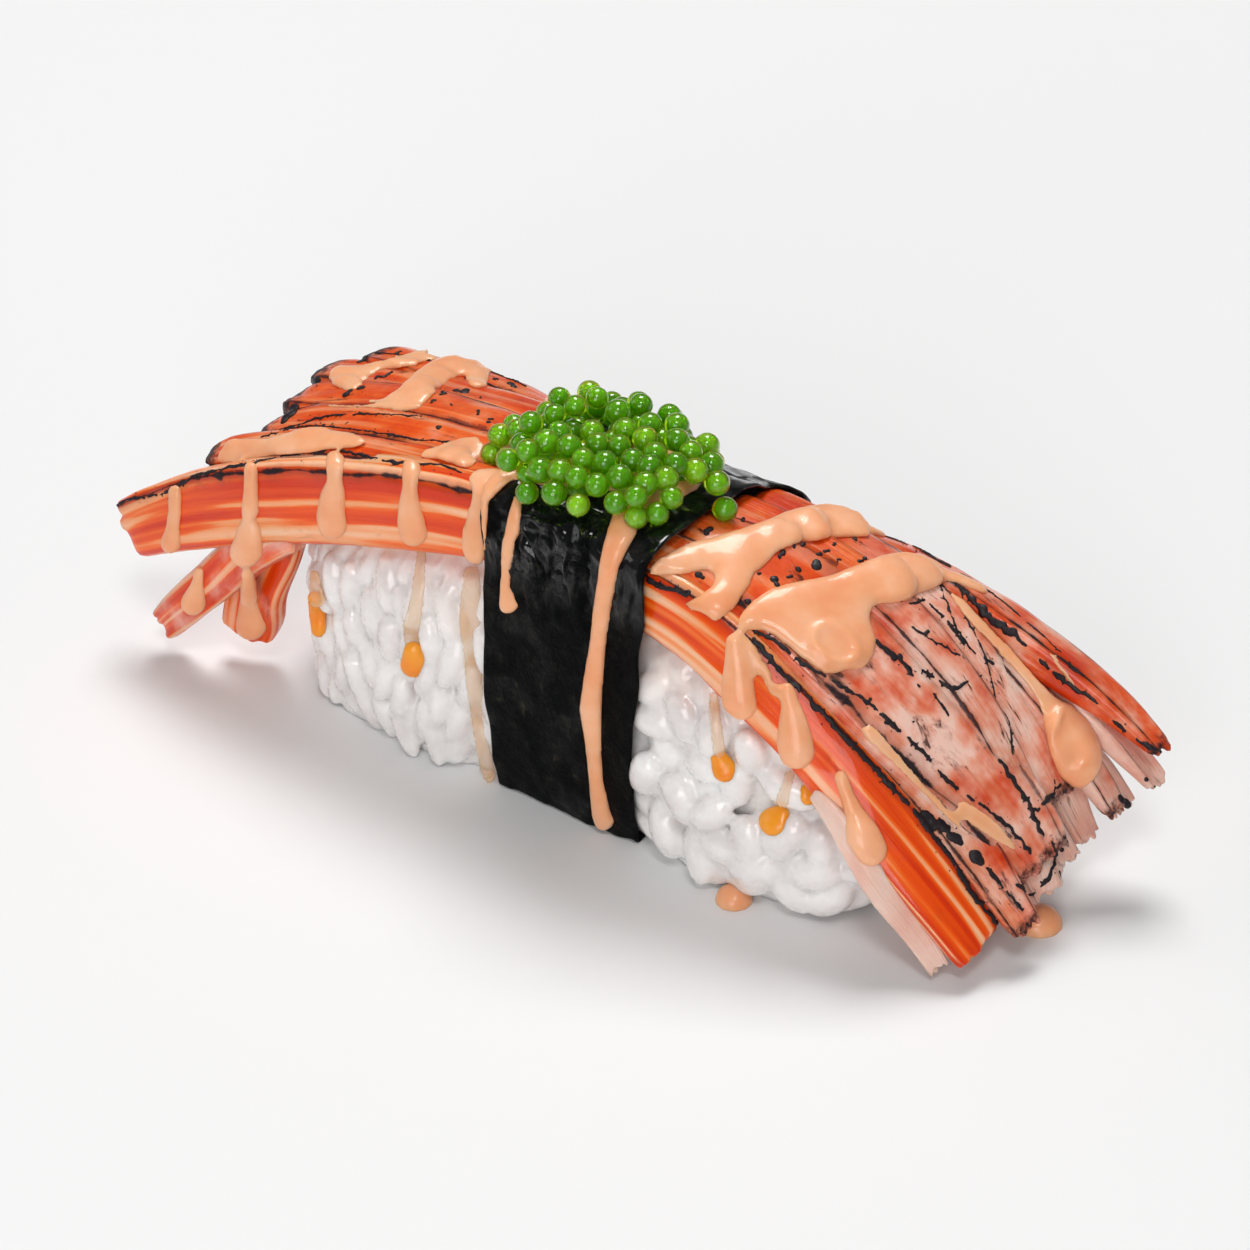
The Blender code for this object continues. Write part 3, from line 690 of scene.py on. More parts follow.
nori = {
    "left": -8.1, "right": 7.2, "lean": 2.3, "height": 30,   # mm: the lean is the right edge's, at this height
    "thickness": 0.34,
    "cuts": 34,                         # across the band
    "waver": (0.35, 0.25),              # of the edges: mm, and waves in a mm
    "waves": ((4.5, 1, 0.6), (1.7, 4, 0.75)),   # size, depth of detail and height, mm
    "crumple": (26.5, 5.5, 0.6, 1.5),   # height, reach, folds in a mm, depth
    "outline": [(-11.2, 0.0), (-12.2, 4.5), (-12.9, 12.0), (-12.9, 20.0), (-13.0, 27.0), (-12.3, 30.6),
                (-8.5, 31.8), (-3.0, 31.7), (2.0, 30.9), (6.0, 29.1), (9.4, 26.9), (12.1, 23.9),
                (13.1, 19.0), (13.1, 11.0), (12.4, 4.5), (11.2, 0.0)],   # y and z
}


def smoothOutline(keys, samples):
    points = []
    count = len(keys)
    for i in range(count - 1):
        p0, p1, p2, p3 = (Vector(keys[j]) for j in (max(i - 1, 0), i, i + 1, min(i + 2, count - 1)))
        for k in range(samples):
            t = k / samples
            points.append(0.5 * (2 * p1 + (p2 - p0) * t + (2 * p0 - 5 * p1 + 4 * p2 - p3) * t ** 2
                                 + (3 * p1 - p0 - 3 * p2 + p3) * t ** 3))
    last, first = Vector(keys[-1]), Vector(keys[0])
    return points + [last.lerp(first, k / 12) for k in range(12)]


def makeNori():
    left, right = nori["left"], nori["right"]
    middle = (left + right) / 2
    half = right - middle
    outline = [(*point, 0.0) for point in smoothOutline(nori["outline"], 5)]
    band, spline = polyCurve("noriSheet", outline, dimensions="2D", fill_mode="NONE", extrude=(right - left) / 2)
    spline.use_cyclic_u = True
    band.rotation_euler = (math.radians(90), 0, math.radians(90))
    band.location = (middle, 0, 0)
    activate(band)
    bpy.ops.object.convert(target="MESH")
    band = bpy.context.object
    settle(band)
    editMode()
    bpy.ops.mesh.select_mode(type="EDGE")
    bpy.ops.mesh.select_all(action="DESELECT")
    objectMode()
    for edge in band.data.edges:
        a, b = (band.data.vertices[i].co for i in edge.vertices)
        edge.select = abs(a.x - b.x) > 1.0
    editMode()
    bpy.ops.mesh.subdivide(number_cuts=nori["cuts"])
    bpy.ops.mesh.select_mode(type="VERT")
    faceOutwards()
    depth, often = nori["waver"]
    for vert in band.data.vertices:  # the right edge leans out as it rises, and both edges waver
        share = max(0.0, (vert.co.x - middle) / half)
        vert.co.x += nori["lean"] * min(1.0, vert.co.z / nori["height"]) * share
        edge = abs(vert.co.x - middle) / half
        vert.co.x += depth * edge ** 4 * noise.noise(Vector((0.0, vert.co.y, vert.co.z)) * often)
    for size, detail, height in nori["waves"]:
        pushed(band, cloudTexture("nori waves", size, detail), height)
    addModifier(band, "Sheet", "SOLIDIFY", thickness=nori["thickness"], offset=-1.0)
    subdivided(band)
    applyModifiers(band)
    crumpled = []
    height, reach, folds, depth = nori["crumple"]
    for vert in band.data.vertices:   # crumpled where the sheet bends over the crab at the front
        near = max(0.0, 1 - ((vert.co.z - height) / reach) ** 2) if vert.co.y < -6 else 0.0
        near *= max(0.0, 1 - (abs(vert.co.x - middle) / half) ** 4)
        ridge = 0.15 - abs(noise.noise(vert.co * folds))
        crumpled.append(vert.co + vert.normal * depth * near * ridge)
    for vert, place in zip(band.data.vertices, crumpled):
        vert.co = place
    aboveTable(band)
    bpy.ops.object.shade_smooth()
    return band


noriSheet = makeNori()
print("nori made", len(noriSheet.data.polygons), "faces")


# Rice grains

def makeGrainModels():
    models = []
    turn = random.Random(rice["modelSeed"])
    for number in range(rice["models"]):
        deselectAll()
        bpy.ops.mesh.primitive_uv_sphere_add(segments=10, ring_count=7, radius=1.0, location=(0, 0, 0))
        grain = bpy.context.object
        grain.name = "grainModel"
        resizeAll(grain, rice["grain"])
        editMode()
        bpy.ops.transform.vertex_random(offset=0.04, seed=number)
        objectMode()
        bend, start = turn.uniform(0.05, 0.12), rice["blunt"]
        for vert in grain.data.vertices:  # a grain is a little bent, and blunt at one end
            vert.co.x += bend * (vert.co.z ** 2) / 3
            if vert.co.z > start:
                vert.co.z = start + (vert.co.z - start) * turn.uniform(0.55, 0.75)
        models.append(grain)
    return models


def riceOutward(angle, level):
    here = ricePoint(angle, level)
    ahead = ricePoint(angle + 0.02, level)
    if level > 0.97:
        return (ricePoint(angle, level - 0.02) - here).cross(ahead - here).normalized()
    return (ahead - here).cross(ricePoint(angle, level + 0.02) - here).normalized()


def crowded(spot, taken, across, along):  # side by side, a grain's width apart, or end to end
    for other, way in taken:
        gap = spot - other
        ends = gap.dot(way)
        if (ends / along) ** 2 + (gap.length_squared - ends ** 2) / across ** 2 < 1:
            return True
    return False


def makeRice():
    models = makeGrainModels()
    crabTree = treeOf(list(crab.values()))
    pick = random.Random(rice["seed"])
    bigger, wider, shorter = rice["swollen"]
    footX, footZ, plumper = rice["foot"]
    sink, clear, near = rice["underCrab"]
    upwards, tip, off = rice["draws"]
    high, leftOut, topmost, lift = rice["bare"]
    places = []
    for depth, width, length, tries in rice["layers"]:
        taken = []
        for attempt in range(tries):   # the same draws for every try, whether or not its grain finds room
            angle, level, luck = pick.uniform(0, 2 * math.pi), pick.random() ** upwards, pick.random()
            swing, rise, offset = pick.gauss(0, 1), pick.gauss(0, tip), pick.uniform(-off, off)
            size, model = pick.uniform(*rice["sizes"]), pick.randrange(len(models))
            spot = ricePoint(angle, level)
            right = nori["right"] + nori["lean"] * spot.z / nori["height"] + rice["clear"][1]
            if nori["left"] - rice["clear"][0] < spot.x < right or (level > high and luck < leftOut):
                continue
            outward = (riceOutward(angle, level) + Vector((0, 0, lift if level > topmost else 0))).normalized()
            side = outward.cross(Vector((0, 0, 1))).normalized()
            upright = side.cross(outward).normalized()
            lean = math.radians(swing * rice["leans"][0 if spot.x < 0 and spot.y < 0 else 1])
            along = upright * math.cos(lean) + side * math.sin(lean)
            along = (along + outward * rise).normalized()
            wide, long = 1.0, 1.0
            if spot.x > 0:
                size, wide, long = size * bigger, wider, shorter
            if crowded(spot, taken, width * size * wide, length * size * lerp(1.0, long, 0.6)):
                continue
            thick = (outward - along * outward.dot(along)).normalized()
            turn = Matrix((thick.cross(along), thick, along)).transposed()
            base = spot.copy()
            foot = plumper if spot.x > footX and spot.y < 0 and spot.z < footZ else 0.0
            spot = spot + outward * (depth + foot + offset)
            half = size * rice["grain"][2]
            spot.z = max(spot.z, abs(along.z) * half + 0.9 * size * (1 - abs(along.z)) + 0.05)
            for settling in range(4):
                tips = [spot, spot + along * half * 0.8, spot - along * half * 0.8, spot + thick]
                nearest = [crabTree.find_nearest(tip) for tip in tips]
                if all((tip - hit[0]).dot(hit[1]) > clear or hit[3] > near for tip, hit in zip(tips, nearest)):
                    taken.append((base, along))
                    plump = Matrix.Diagonal((size * wide, size, size * long, 1.0))
                    places.append((model, Matrix.Translation(spot) @ turn.to_4x4() @ plump))
                    break
                spot = spot - outward * sink
    grains = scatterCopies("riceGrains", models, places, [0.0] * len(places))
    removeAll(models)
    uneven = rice["uneven"]
    pushed(riceCore, cloudTexture("mass", 2.2, 0), uneven, middle=0.5 - rice["cling"] / uneven)
    applyModifiers(riceCore)
    heap = joinPieces([grains, riceCore], "riceHeap")
    melted(heap, rice["voxel"], 4, rice["kept"])
    print("rice grains", len(places), "faces", len(heap.data.polygons))
    return heap


riceHeap = makeRice()


# Roe

roe = {
    "seed": 8,
    "radius": 1.12, "flat": 0.97, "yolk": 0.71, "yolkDrop": 0.04, "sizes": (0.9, 1.04),
    "centre": (-1.6, -3.0), "radii": (11.4, 9.8), "rise": 3.3, "top": 36.5,   # the heap: mm
    "apart": (1.95, 1.78, 1.8),    # a hidden bead's least room, what counts as overlap, and what is left after it
    "search": (40, 0.08, 900),     # along a ray: mm before the target, step in mm, steps
    "sweeps": 14, "sunk": 0.92,    # rounds of pushing apart, and the share of the radius above what lies under
    # middles of the beads that show in the photograph, in its pixels; the last one has rolled onto the crab
    "seen": [(534, 398), (551, 392), (554, 411), (575, 402), (597, 398), (626, 396), (641, 405), (666, 403),
             (618, 408), (508, 424), (531, 423), (515, 431), (499, 441), (484, 450), (508, 460), (530, 450),
             (547, 439), (557, 430), (569, 442), (592, 421), (598, 436), (619, 440), (624, 422), (645, 433),
             (650, 421), (655, 450), (677, 425), (677, 439), (701, 426), (707, 445), (691, 452), (711, 465),
             (693, 470), (675, 468), (650, 467), (634, 458), (583, 458), (605, 460), (620, 477), (560, 471),
             (540, 470), (577, 477), (597, 485), (646, 484), (667, 478), (670, 493), (527, 493), (554, 493),
             (578, 505), (617, 503), (638, 507), (655, 513), (641, 532), (717, 483), (725, 509)],
    "hidden": 110,
}


def heapBase(x, y):
    hit = topTree.ray_cast(Vector((x, y, 60)), Vector((0, 0, -1)))
    return hit[0].z if hit[0] else 24.0


def heapReach(place):  # 1.0 at the heap's rim
    (x, y), (wide, deep) = roe["centre"], roe["radii"]
    return math.hypot((place.x - x) / wide, (place.y - y) / deep)


def heapHeight(place):  # how far a place is above the heap's dome
    dome = roe["rise"] * math.sqrt(1 - min(1.0, heapReach(place)) ** 2)
    return place.z - heapBase(place.x, place.y) - roe["radius"] - dome


def seenBeads():  # along the photograph's own rays, down to the heap's dome
    before, step, steps = roe["search"]
    centres = []
    for px, py in roe["seen"]:
        ray = photoRay(px, py)
        place = eye + ray * (view["distance"] - before)
        for number in range(steps):
            if heapHeight(place) <= 0:
                break
            place = place + ray * step
        centres.append(place)
    return centres


def hiddenBeads(centres, pick):
    (x0, y0), (wide, deep) = roe["centre"], roe["radii"]
    for attempt in range(roe["hidden"] * 12):
        if len(centres) >= len(roe["seen"]) + roe["hidden"]:
            break
        reach, angle = math.sqrt(pick.random()), pick.uniform(0, 2 * math.pi)
        x, y = x0 + wide * reach * math.cos(angle), y0 + deep * reach * math.sin(angle)
        behind = Vector((x - x0, y - y0, 0)).dot(towardsCamera) < -2.5
        share = pick.choice((0.0, 0.5, 0.98)) if behind else pick.uniform(0, 0.4)
        z = heapBase(x, y) + roe["radius"] + roe["rise"] * math.sqrt(1 - reach ** 2) * share
        place = Vector((x, y, z))
        clear = all((place - other).length > roe["apart"][0] for other in centres)
        if z > 26 and (behind or reach < 0.8) and clear:
            centres.append(place)


def spreadBeads(centres):  # beads that overlap push each other apart, on the heap
    (x0, y0), least, room = roe["centre"], *roe["apart"][1:]
    stray = len(roe["seen"]) - 1
    for sweep in range(roe["sweeps"]):
        for i, a in enumerate(centres):
            for j in range(i):
                b = centres[j]
                gap = b - a
                if 0 < gap.length < least:
                    push = gap.normalized() * (room - gap.length) / 2
                    centres[i] = a = a - push
                    centres[j] = b + push
        for i, a in enumerate(centres):
            out = heapReach(a)
            if out > 1.0 and i != stray:
                a.x, a.y = x0 + (a.x - x0) / out, y0 + (a.y - y0) / out
            a.z = max(a.z, heapBase(a.x, a.y) + roe["radius"] * roe["sunk"])
            a.z = min(a.z, roe["top"] - roe["radius"])


def makeRoe():
    pick = random.Random(roe["seed"])
    centres = seenBeads()
    hiddenBeads(centres, pick)
    spreadBeads(centres)
    bead = addBall(3)
    resizeAll(bead, (roe["radius"], roe["radius"], roe["radius"] * roe["flat"]))
    places = []
    for centre in centres:
        size = pick.uniform(*roe["sizes"])
        turn = Matrix.Rotation(pick.uniform(0, 3.14), 4, "Z") @ Matrix.Rotation(pick.uniform(-0.4, 0.4), 4, "X")
        places.append((0, Matrix.Translation(centre) @ turn @ Matrix.Scale(size, 4)))
    marks = [pick.random() for centre in centres]
    beads = scatterCopies("roeBeads", [bead], places, marks)
    yolk = addBall(2, roe["yolk"])
    places = [(0, matrix @ Matrix.Translation((0, 0, -roe["yolkDrop"]))) for index, matrix in places]
    yolks = scatterCopies("roeYolks", [yolk], places, marks)
    removeAll([bead, yolk])
    print("roe beads", len(centres))
    return beads, yolks


topTree = treeOf([noriSheet, *crab.values()])
roeBeads, roeYolks = makeRoe()


# Sauce: strokes laid where the photograph shows them, dropped on whatever carries them

sauce = {
    "voxel": 0.24, "thinVoxel": 0.2,       # mm
    "stamp": (2.0, 3.0),           # widest stamp of a patch in mm, and the narrowest in pixels
    "grid": 5, "inside": 2.0,      # pixels between the stamps of a patch, and from its outline
    "facing": 0.42,                # a slope seen flatter than this is taken as this
    "lift": 0.08, "lean": 0.2,     # a stamp off the surface, mm, and towards the view
    "near": 1.8, "under": 0.12, "hang": 0.8,   # mm: one surface's depth, at most under a ridge, over an edge
    "step": 0.35,                  # mm between the stamps of a stroke
    "strokeHeight": (1.2, 0.45, 0.42),         # most, at no width, and more for each mm of half width
    "patchHeight": (0.5, 0.7),                 # at the outline, and more inside
    "bridge": (1.2, 0.45, 0.9),    # mm smoothed over under a patch, a stroke, and a stroke on rice
    "lip": (40, 0.55, 0.45, 0.5),  # stamps round a puddle, and their lift, radius and height, mm
    "fromBehind": (-0.55, -0.83),  # y and z of the way in which the strokes behind fall
    "patches": [   # filled areas: how thick, then the outline in the photograph's pixels
        (0.42, [(385, 398), (398, 388), (412, 374), (428, 362), (445, 356), (465, 352), (480, 354), (495, 361),
                (510, 370), (500, 376), (480, 374), (465, 376), (452, 382), (442, 390), (432, 398), (425, 407),
                (415, 412), (400, 414), (388, 412), (365, 410), (340, 410), (315, 414), (310, 410), (330, 404),
                (360, 401)]),
        (0.36, [(326, 379), (329, 370), (340, 364), (355, 366), (372, 362), (390, 357), (410, 352), (430, 348),
                (450, 350), (450, 356), (432, 362), (415, 368), (398, 370), (382, 372), (370, 381), (360, 390),
                (348, 394), (332, 388)]),
        (0.42, [(215, 460), (225, 442), (232, 437), (250, 439), (270, 438), (288, 432), (302, 428), (322, 426),
                (335, 430), (350, 432), (365, 436), (370, 442), (360, 448), (345, 450), (328, 451), (310, 454),
                (290, 456), (270, 458), (250, 464), (235, 466), (220, 466)]),
        (0.26, [(412, 458), (428, 448), (445, 442), (465, 436), (480, 436), (490, 450), (482, 460), (470, 471),
                (458, 468), (440, 462), (422, 461)]),
        (0.5, [(466, 475), (480, 469), (500, 469), (522, 472), (514, 481), (501, 491), (491, 501), (490, 520),
               (488, 540), (486, 560), (480, 571), (466, 561), (460, 545), (462, 530), (467, 512), (472, 495)]),
        (0.5, [(647, 575), (653, 562), (671, 551), (691, 542), (717, 536), (740, 529), (763, 521), (783, 513),
               (803, 507), (826, 504), (847, 506), (864, 514), (881, 526), (889, 535), (871, 538), (854, 538),
               (837, 539), (820, 541), (803, 544), (789, 548), (777, 553), (773, 561), (763, 569), (754, 576),
               (751, 588), (743, 598), (737, 607), (730, 614), (721, 621), (715, 628), (708, 618), (703, 614),
               (691, 611), (681, 605), (690, 599), (702, 592), (712, 585), (714, 576), (706, 571), (689, 575),
               (671, 577), (651, 577)]),
        (0.55, [(734, 627), (739, 613), (751, 601), (769, 589), (789, 583), (809, 579), (829, 575), (849, 568),
                (866, 561), (883, 555), (903, 552), (923, 555), (938, 563), (948, 573), (944, 585), (932, 591),
                (921, 594), (909, 601), (894, 604), (881, 604), (873, 609), (870, 620), (873, 631), (877, 641),
                (874, 656), (868, 668), (857, 672), (846, 671), (834, 676), (825, 675), (814, 669), (802, 660),
                (791, 651), (782, 644), (774, 637), (763, 632), (751, 631), (743, 632)]),
        (0.34, [(730, 630), (743, 629), (754, 641), (769, 664), (780, 687), (784, 701), (771, 699), (760, 679),
                (754, 670), (757, 693), (759, 713), (746, 719), (732, 712), (723, 699), (721, 681), (723, 667),
                (730, 653)]),
        (0.4, [(854, 727), (869, 721), (879, 729), (894, 747), (909, 764), (929, 787), (949, 807), (966, 827),
               (957, 831), (940, 814), (917, 790), (897, 771), (877, 751), (863, 740)]),
        (0.42, [(953, 803), (964, 799), (983, 810), (1000, 824), (1014, 841), (1020, 854), (1006, 849), (989, 839),
                (971, 827), (959, 816)]),
        (0.4, [(946, 590), (960, 596), (977, 613), (994, 630), (1011, 647), (1029, 667), (1043, 684), (1057, 696),
               (1074, 707), (1089, 721), (1100, 741), (1103, 761), (1097, 779), (1084, 790), (1069, 787),
               (1057, 773), (1049, 750), (1043, 727), (1038, 707), (1026, 687), (1009, 667), (991, 647), (971, 627),
               (954, 607)]),
        (0.24, [(1040, 636), (1057, 653), (1074, 676), (1091, 696), (1109, 719), (1097, 713), (1077, 693),
                (1057, 673), (1043, 653)]),
    ],
    "coat": [   # strokes: how thick, then the marks in the photograph's pixels: x, y, half width
        # drips down the front strand
        (0.7, [(176, 491, 8), (176, 510, 8), (174, 528, 8), (172, 541, 12), (172, 543, 12)]),
        (0.85, [(252, 469, 8), (252, 490, 8), (251, 510, 10), (249, 521, 6), (250, 532, 14), (248, 549, 18),
                (247, 551, 18)]),
        (0.85, [(336, 462, 11), (336, 480, 8), (334, 495, 14), (332, 515, 16), (334, 524, 16)]),
        (0.85, [(412, 470, 11), (411, 485, 8), (410, 502, 11), (412, 520, 15), (415, 532, 15)]),
        (0.7, [(200, 570, 6), (198, 585, 8), (194, 602, 15)]),
        (0.8, [(248, 574, 8), (250, 598, 10), (252, 624, 18)]),
        # on the nori
        (0.6, [(518, 500, 6), (514, 525, 9), (508, 550, 8), (506, 585, 6), (509, 604, 11)]),
        (0.75, [(640, 503, 10), (630, 512, 16), (621, 535, 15), (611, 560, 11), (604, 600, 10), (599, 640, 9),
                (594, 680, 11), (591, 708, 12), (594, 740, 9), (597, 780, 8), (602, 812, 11), (605, 820, 11)]),
        # right of the band
        (0.9, [(734, 641, 9), (737, 664, 13), (738, 687, 17), (739, 699, 18), (743, 707, 14)]),
        (0.9, [(787, 690, 9), (791, 705, 10), (793, 719, 14), (795, 741, 19), (797, 751, 19)]),
        (0.9, [(841, 777, 8), (847, 794, 8), (854, 813, 11), (863, 836, 18), (871, 850, 17)]),
        (0.5, [(1060, 721, 14), (1070, 744, 23), (1076, 764, 21)]),
        # under the roe
        (0.8, [(500, 452, 10), (520, 432, 12), (555, 420, 12), (600, 416, 12), (650, 422, 12), (690, 440, 12),
               (705, 465, 10), (690, 485, 10), (655, 500, 12)]),
        (0.8, [(520, 470, 12), (560, 470, 22), (620, 470, 24), (670, 470, 18)]),
    ],
    # raised lips round the deepest puddles: middle, half width and height, turn
    "lips": [((833, 647), (24, 16), 32), ((1069, 739), (14, 30), -18)],
    # strokes from above and behind, on the side that the photograph doesn't show: x, y, half width in mm
    "behind": [
        (0.5, [(-15, 3.5, 1.2), (-16.5, 6.5, 1.4), (-18, 9.0, 1.2), (-18.8, 10.6, 0.9)]),
        (0.5, [(-24, 4.5, 1.0), (-26, 7.5, 1.2), (-27.5, 9.8, 0.9)]),
        (0.5, [(14, 5.0, 1.2), (15.5, 8.0, 1.5), (16.5, 10.6, 1.0)]),
        (0.5, [(24, 8.0, 1.0), (26, 10.0, 1.1), (27.5, 11.0, 0.8)]),
    ],
    "film": [  # thin runs on the rice
        (0.30, [(422, 553, 6), (418, 595, 8), (412, 625, 10), (415, 645, 12)]),
        (0.30, [(472, 575, 10), (470, 620, 12), (474, 680, 10), (482, 740, 8), (490, 780, 9)]),
        (0.30, [(315, 575, 6), (318, 600, 9)]), (0.30, [(714, 696, 6), (716, 725, 7), (719, 750, 8)]),
        (0.30, [(790, 775, 6), (783, 800, 8)]),
    ],
    "drops": [  # deeper orange drops on the rice
        (0.75, [(413, 650, 10), (415, 663, 15)]), (0.65, [(315, 597, 7), (318, 615, 9), (319, 630, 8)]),
        (0.65, [(719, 757, 9), (725, 770, 13)]), (0.7, [(782, 812, 8), (774, 822, 15)]),
        (0.5, [(806, 790, 7), (808, 797, 9)]),
    ],
    "foot": [(18.6, -12.5, 1.75, 1.6), (41.2, 0.3, 2.2, 1.8)],   # drops on the table: x, y, radius, height
}


def stampAt(place, normal, radius, height, ray=None):
    turn, stretch = normal.to_track_quat("Z", "Y").to_matrix(), 1.0
    if ray:  # wider along the slope, so that its outline is as wide as the stroke was traced
        facing = max(sauce["facing"], -normal.dot(ray))
        slope = (normal * facing + ray).normalized()
        turn, stretch = Matrix((slope, normal.cross(slope), normal)).transposed(), 1 / facing
    return Matrix.Translation(place) @ turn.to_4x4() @ Matrix.Diagonal((radius * stretch, radius, height, 1.0))


def bridged(tree, caster, x, y, spread):  # where the sauce lies, smoothed over the grooves beneath it
    slant = 0.7 * spread
    around = [(0, 0), (spread, 0), (-spread, 0), (0, spread), (0, -spread),
              (slant, slant), (-slant, slant), (slant, -slant), (-slant, -slant)]
    hits = []
    for dx, dy in around:
        origin, ray = caster(x + dx, y + dy)
        place, normal, face, distance = tree.ray_cast(origin, ray)
        if place is not None:
            hits.append((distance, normal if normal.dot(ray) < 0 else -normal))
    origin, ray = caster(x, y)
    if not hits or tree.ray_cast(origin, ray)[0] is None:
        return None, -ray, ray, None
    near = [hit for hit in hits if abs(hit[0] - hits[0][0]) < sauce["near"]]
    reach = min(hits[0][0] + sauce["under"], sum(hit[0] for hit in near) / len(near))
    normal = sum((hit[1] for hit in near), Vector()).normalized()
    return origin + ray * reach, normal, ray, reach


def sauceStamp(place, normal, ray, radius, height):
    facing = (normal - sauce["lean"] * ray).normalized()
    return stampAt(place + normal * sauce["lift"], facing, radius, height, ray)


def strokeStamps(tree, thick, marks, caster, pitch, spread):
    stamps = []
    most, least, slope = sauce["strokeHeight"]
    for (x0, y0, w0), (x1, y1, w1) in zip(marks, marks[1:]):
        length = math.hypot(x1 - x0, y1 - y0)
        steps = max(1, int(length / (sauce["step"] * pitch)))
        last = None
        for k in range(steps + 1):
            t = k / steps
            x, y, wide = lerp(x0, x1, t), lerp(y0, y1, t), lerp(w0, w1, t) / pitch
            place, normal, ray, reach = bridged(tree, caster, x, y, spread * pitch)
            if place is None:
                if last is None:
                    continue
                reach = last
            if last is not None:
                reach = min(reach, last + sauce["hang"])  # a drop hangs on below the edge that it runs over
            last = reach
            place = caster(x, y)[0] + ray * reach
            stamps.append(sauceStamp(place, normal, ray, wide, thick * min(most, least + slope * wide)))
    return stamps


def insideBy(x, y, outline):  # pixels to the outline, negative outside it
    inside, nearest = False, 1e9
    for (x0, y0), (x1, y1) in zip(outline, outline[1:] + outline[:1]):
        if (y0 > y) != (y1 > y) and x < (x1 - x0) * (y - y0) / (y1 - y0) + x0:
            inside = not inside
        share = ((x - x0) * (x1 - x0) + (y - y0) * (y1 - y0)) / ((x1 - x0) ** 2 + (y1 - y0) ** 2)
        share = min(1.0, max(0.0, share))
        nearest = min(nearest, math.hypot(x - lerp(x0, x1, share), y - lerp(y0, y1, share)))
    return nearest if inside else -nearest


def patchStamps(tree, thick, outline):
    widest, narrowest = sauce["stamp"][0] * photoPitch, sauce["stamp"][1]
    rim, inside = sauce["patchHeight"]
    columns, rows = [range(min(values), max(values), sauce["grid"]) for values in zip(*outline)]
    stamps = []
    for x, y in [(x, y) for x in columns for y in rows]:
        gap = insideBy(x, y, outline)
        if gap < sauce["inside"]:
            continue
        place, normal, ray, reach = bridged(tree, fromCamera, x, y, sauce["bridge"][0] * photoPitch)
        if place is not None:
            radius = min(max(gap, narrowest), widest)
            height = thick * (rim + inside * radius / widest)
            stamps.append(sauceStamp(place, normal, ray, radius / photoPitch, height))
    return stamps


def lipStamps(tree, middle, halves, turn):
    count, lift, radius, height = sauce["lip"]
    stamps = []
    for k in range(count):
        angle, tilt = k / count * 2 * math.pi, math.radians(turn)
        a, b = halves[0] * math.cos(angle), halves[1] * math.sin(angle)
        px = middle[0] + a * math.cos(tilt) - b * math.sin(tilt)
        py = middle[1] + a * math.sin(tilt) + b * math.cos(tilt)
        place, normal, face, distance = tree.ray_cast(*fromCamera(px, py))
        if place:
            stamps.append(stampAt(place + normal * lift, normal, radius, height))
    return stamps


def fromCamera(x, y):
    return eye, photoRay(x, y)


def fromBehind(x, y):
    ray = Vector((0, *sauce["fromBehind"])).normalized()
    return Vector((x, y, 24)) - ray * 60, ray


def makeSauce(name, stamps, voxel, rounds):
    blob = addBall(2)
    piece = scatterCopies(name, [blob], [(0, stamp) for stamp in stamps], [0.0] * len(stamps))
    removeAll([blob])
    melted(piece, voxel, rounds)
    print(name, len(stamps), "stamps,", len(piece.data.polygons), "faces")
    return piece


def coatStamps():
    tree = treeOf([*crab.values(), noriSheet, riceHeap])
    spread = sauce["bridge"][1]
    stamps = []
    for thick, outline in sauce["patches"]:
        stamps += patchStamps(tree, thick, outline)
    for thick, marks in sauce["coat"]:
        stamps += strokeStamps(tree, thick, marks, fromCamera, photoPitch, spread)
    for thick, marks in sauce["behind"]:
        stamps += strokeStamps(tree, thick, marks, fromBehind, 1.0, spread)
    for lip in sauce["lips"]:
        stamps += lipStamps(tree, *lip)
    for x, y, radius, height in sauce["foot"]:
        stamps.append(stampAt(Vector((x, y, 0.0)), Vector((0, 0, 1)), radius, height))
    return stamps


def riceStamps(strokes):
    tree = treeOf([riceHeap])
    stamps = []
    for thick, marks in strokes:
        stamps += strokeStamps(tree, thick, marks, fromCamera, photoPitch, sauce["bridge"][2])
    return stamps


sauceCoat = makeSauce("sauceCoat", coatStamps(), sauce["voxel"], 16)
sauceFilm = makeSauce("sauceFilm", riceStamps(sauce["film"]), sauce["thinVoxel"], 4)
sauceDrops = makeSauce("sauceDrops", riceStamps(sauce["drops"]), sauce["thinVoxel"], 5)


# Char: crumbs along the torched edges, blisters on the red skin

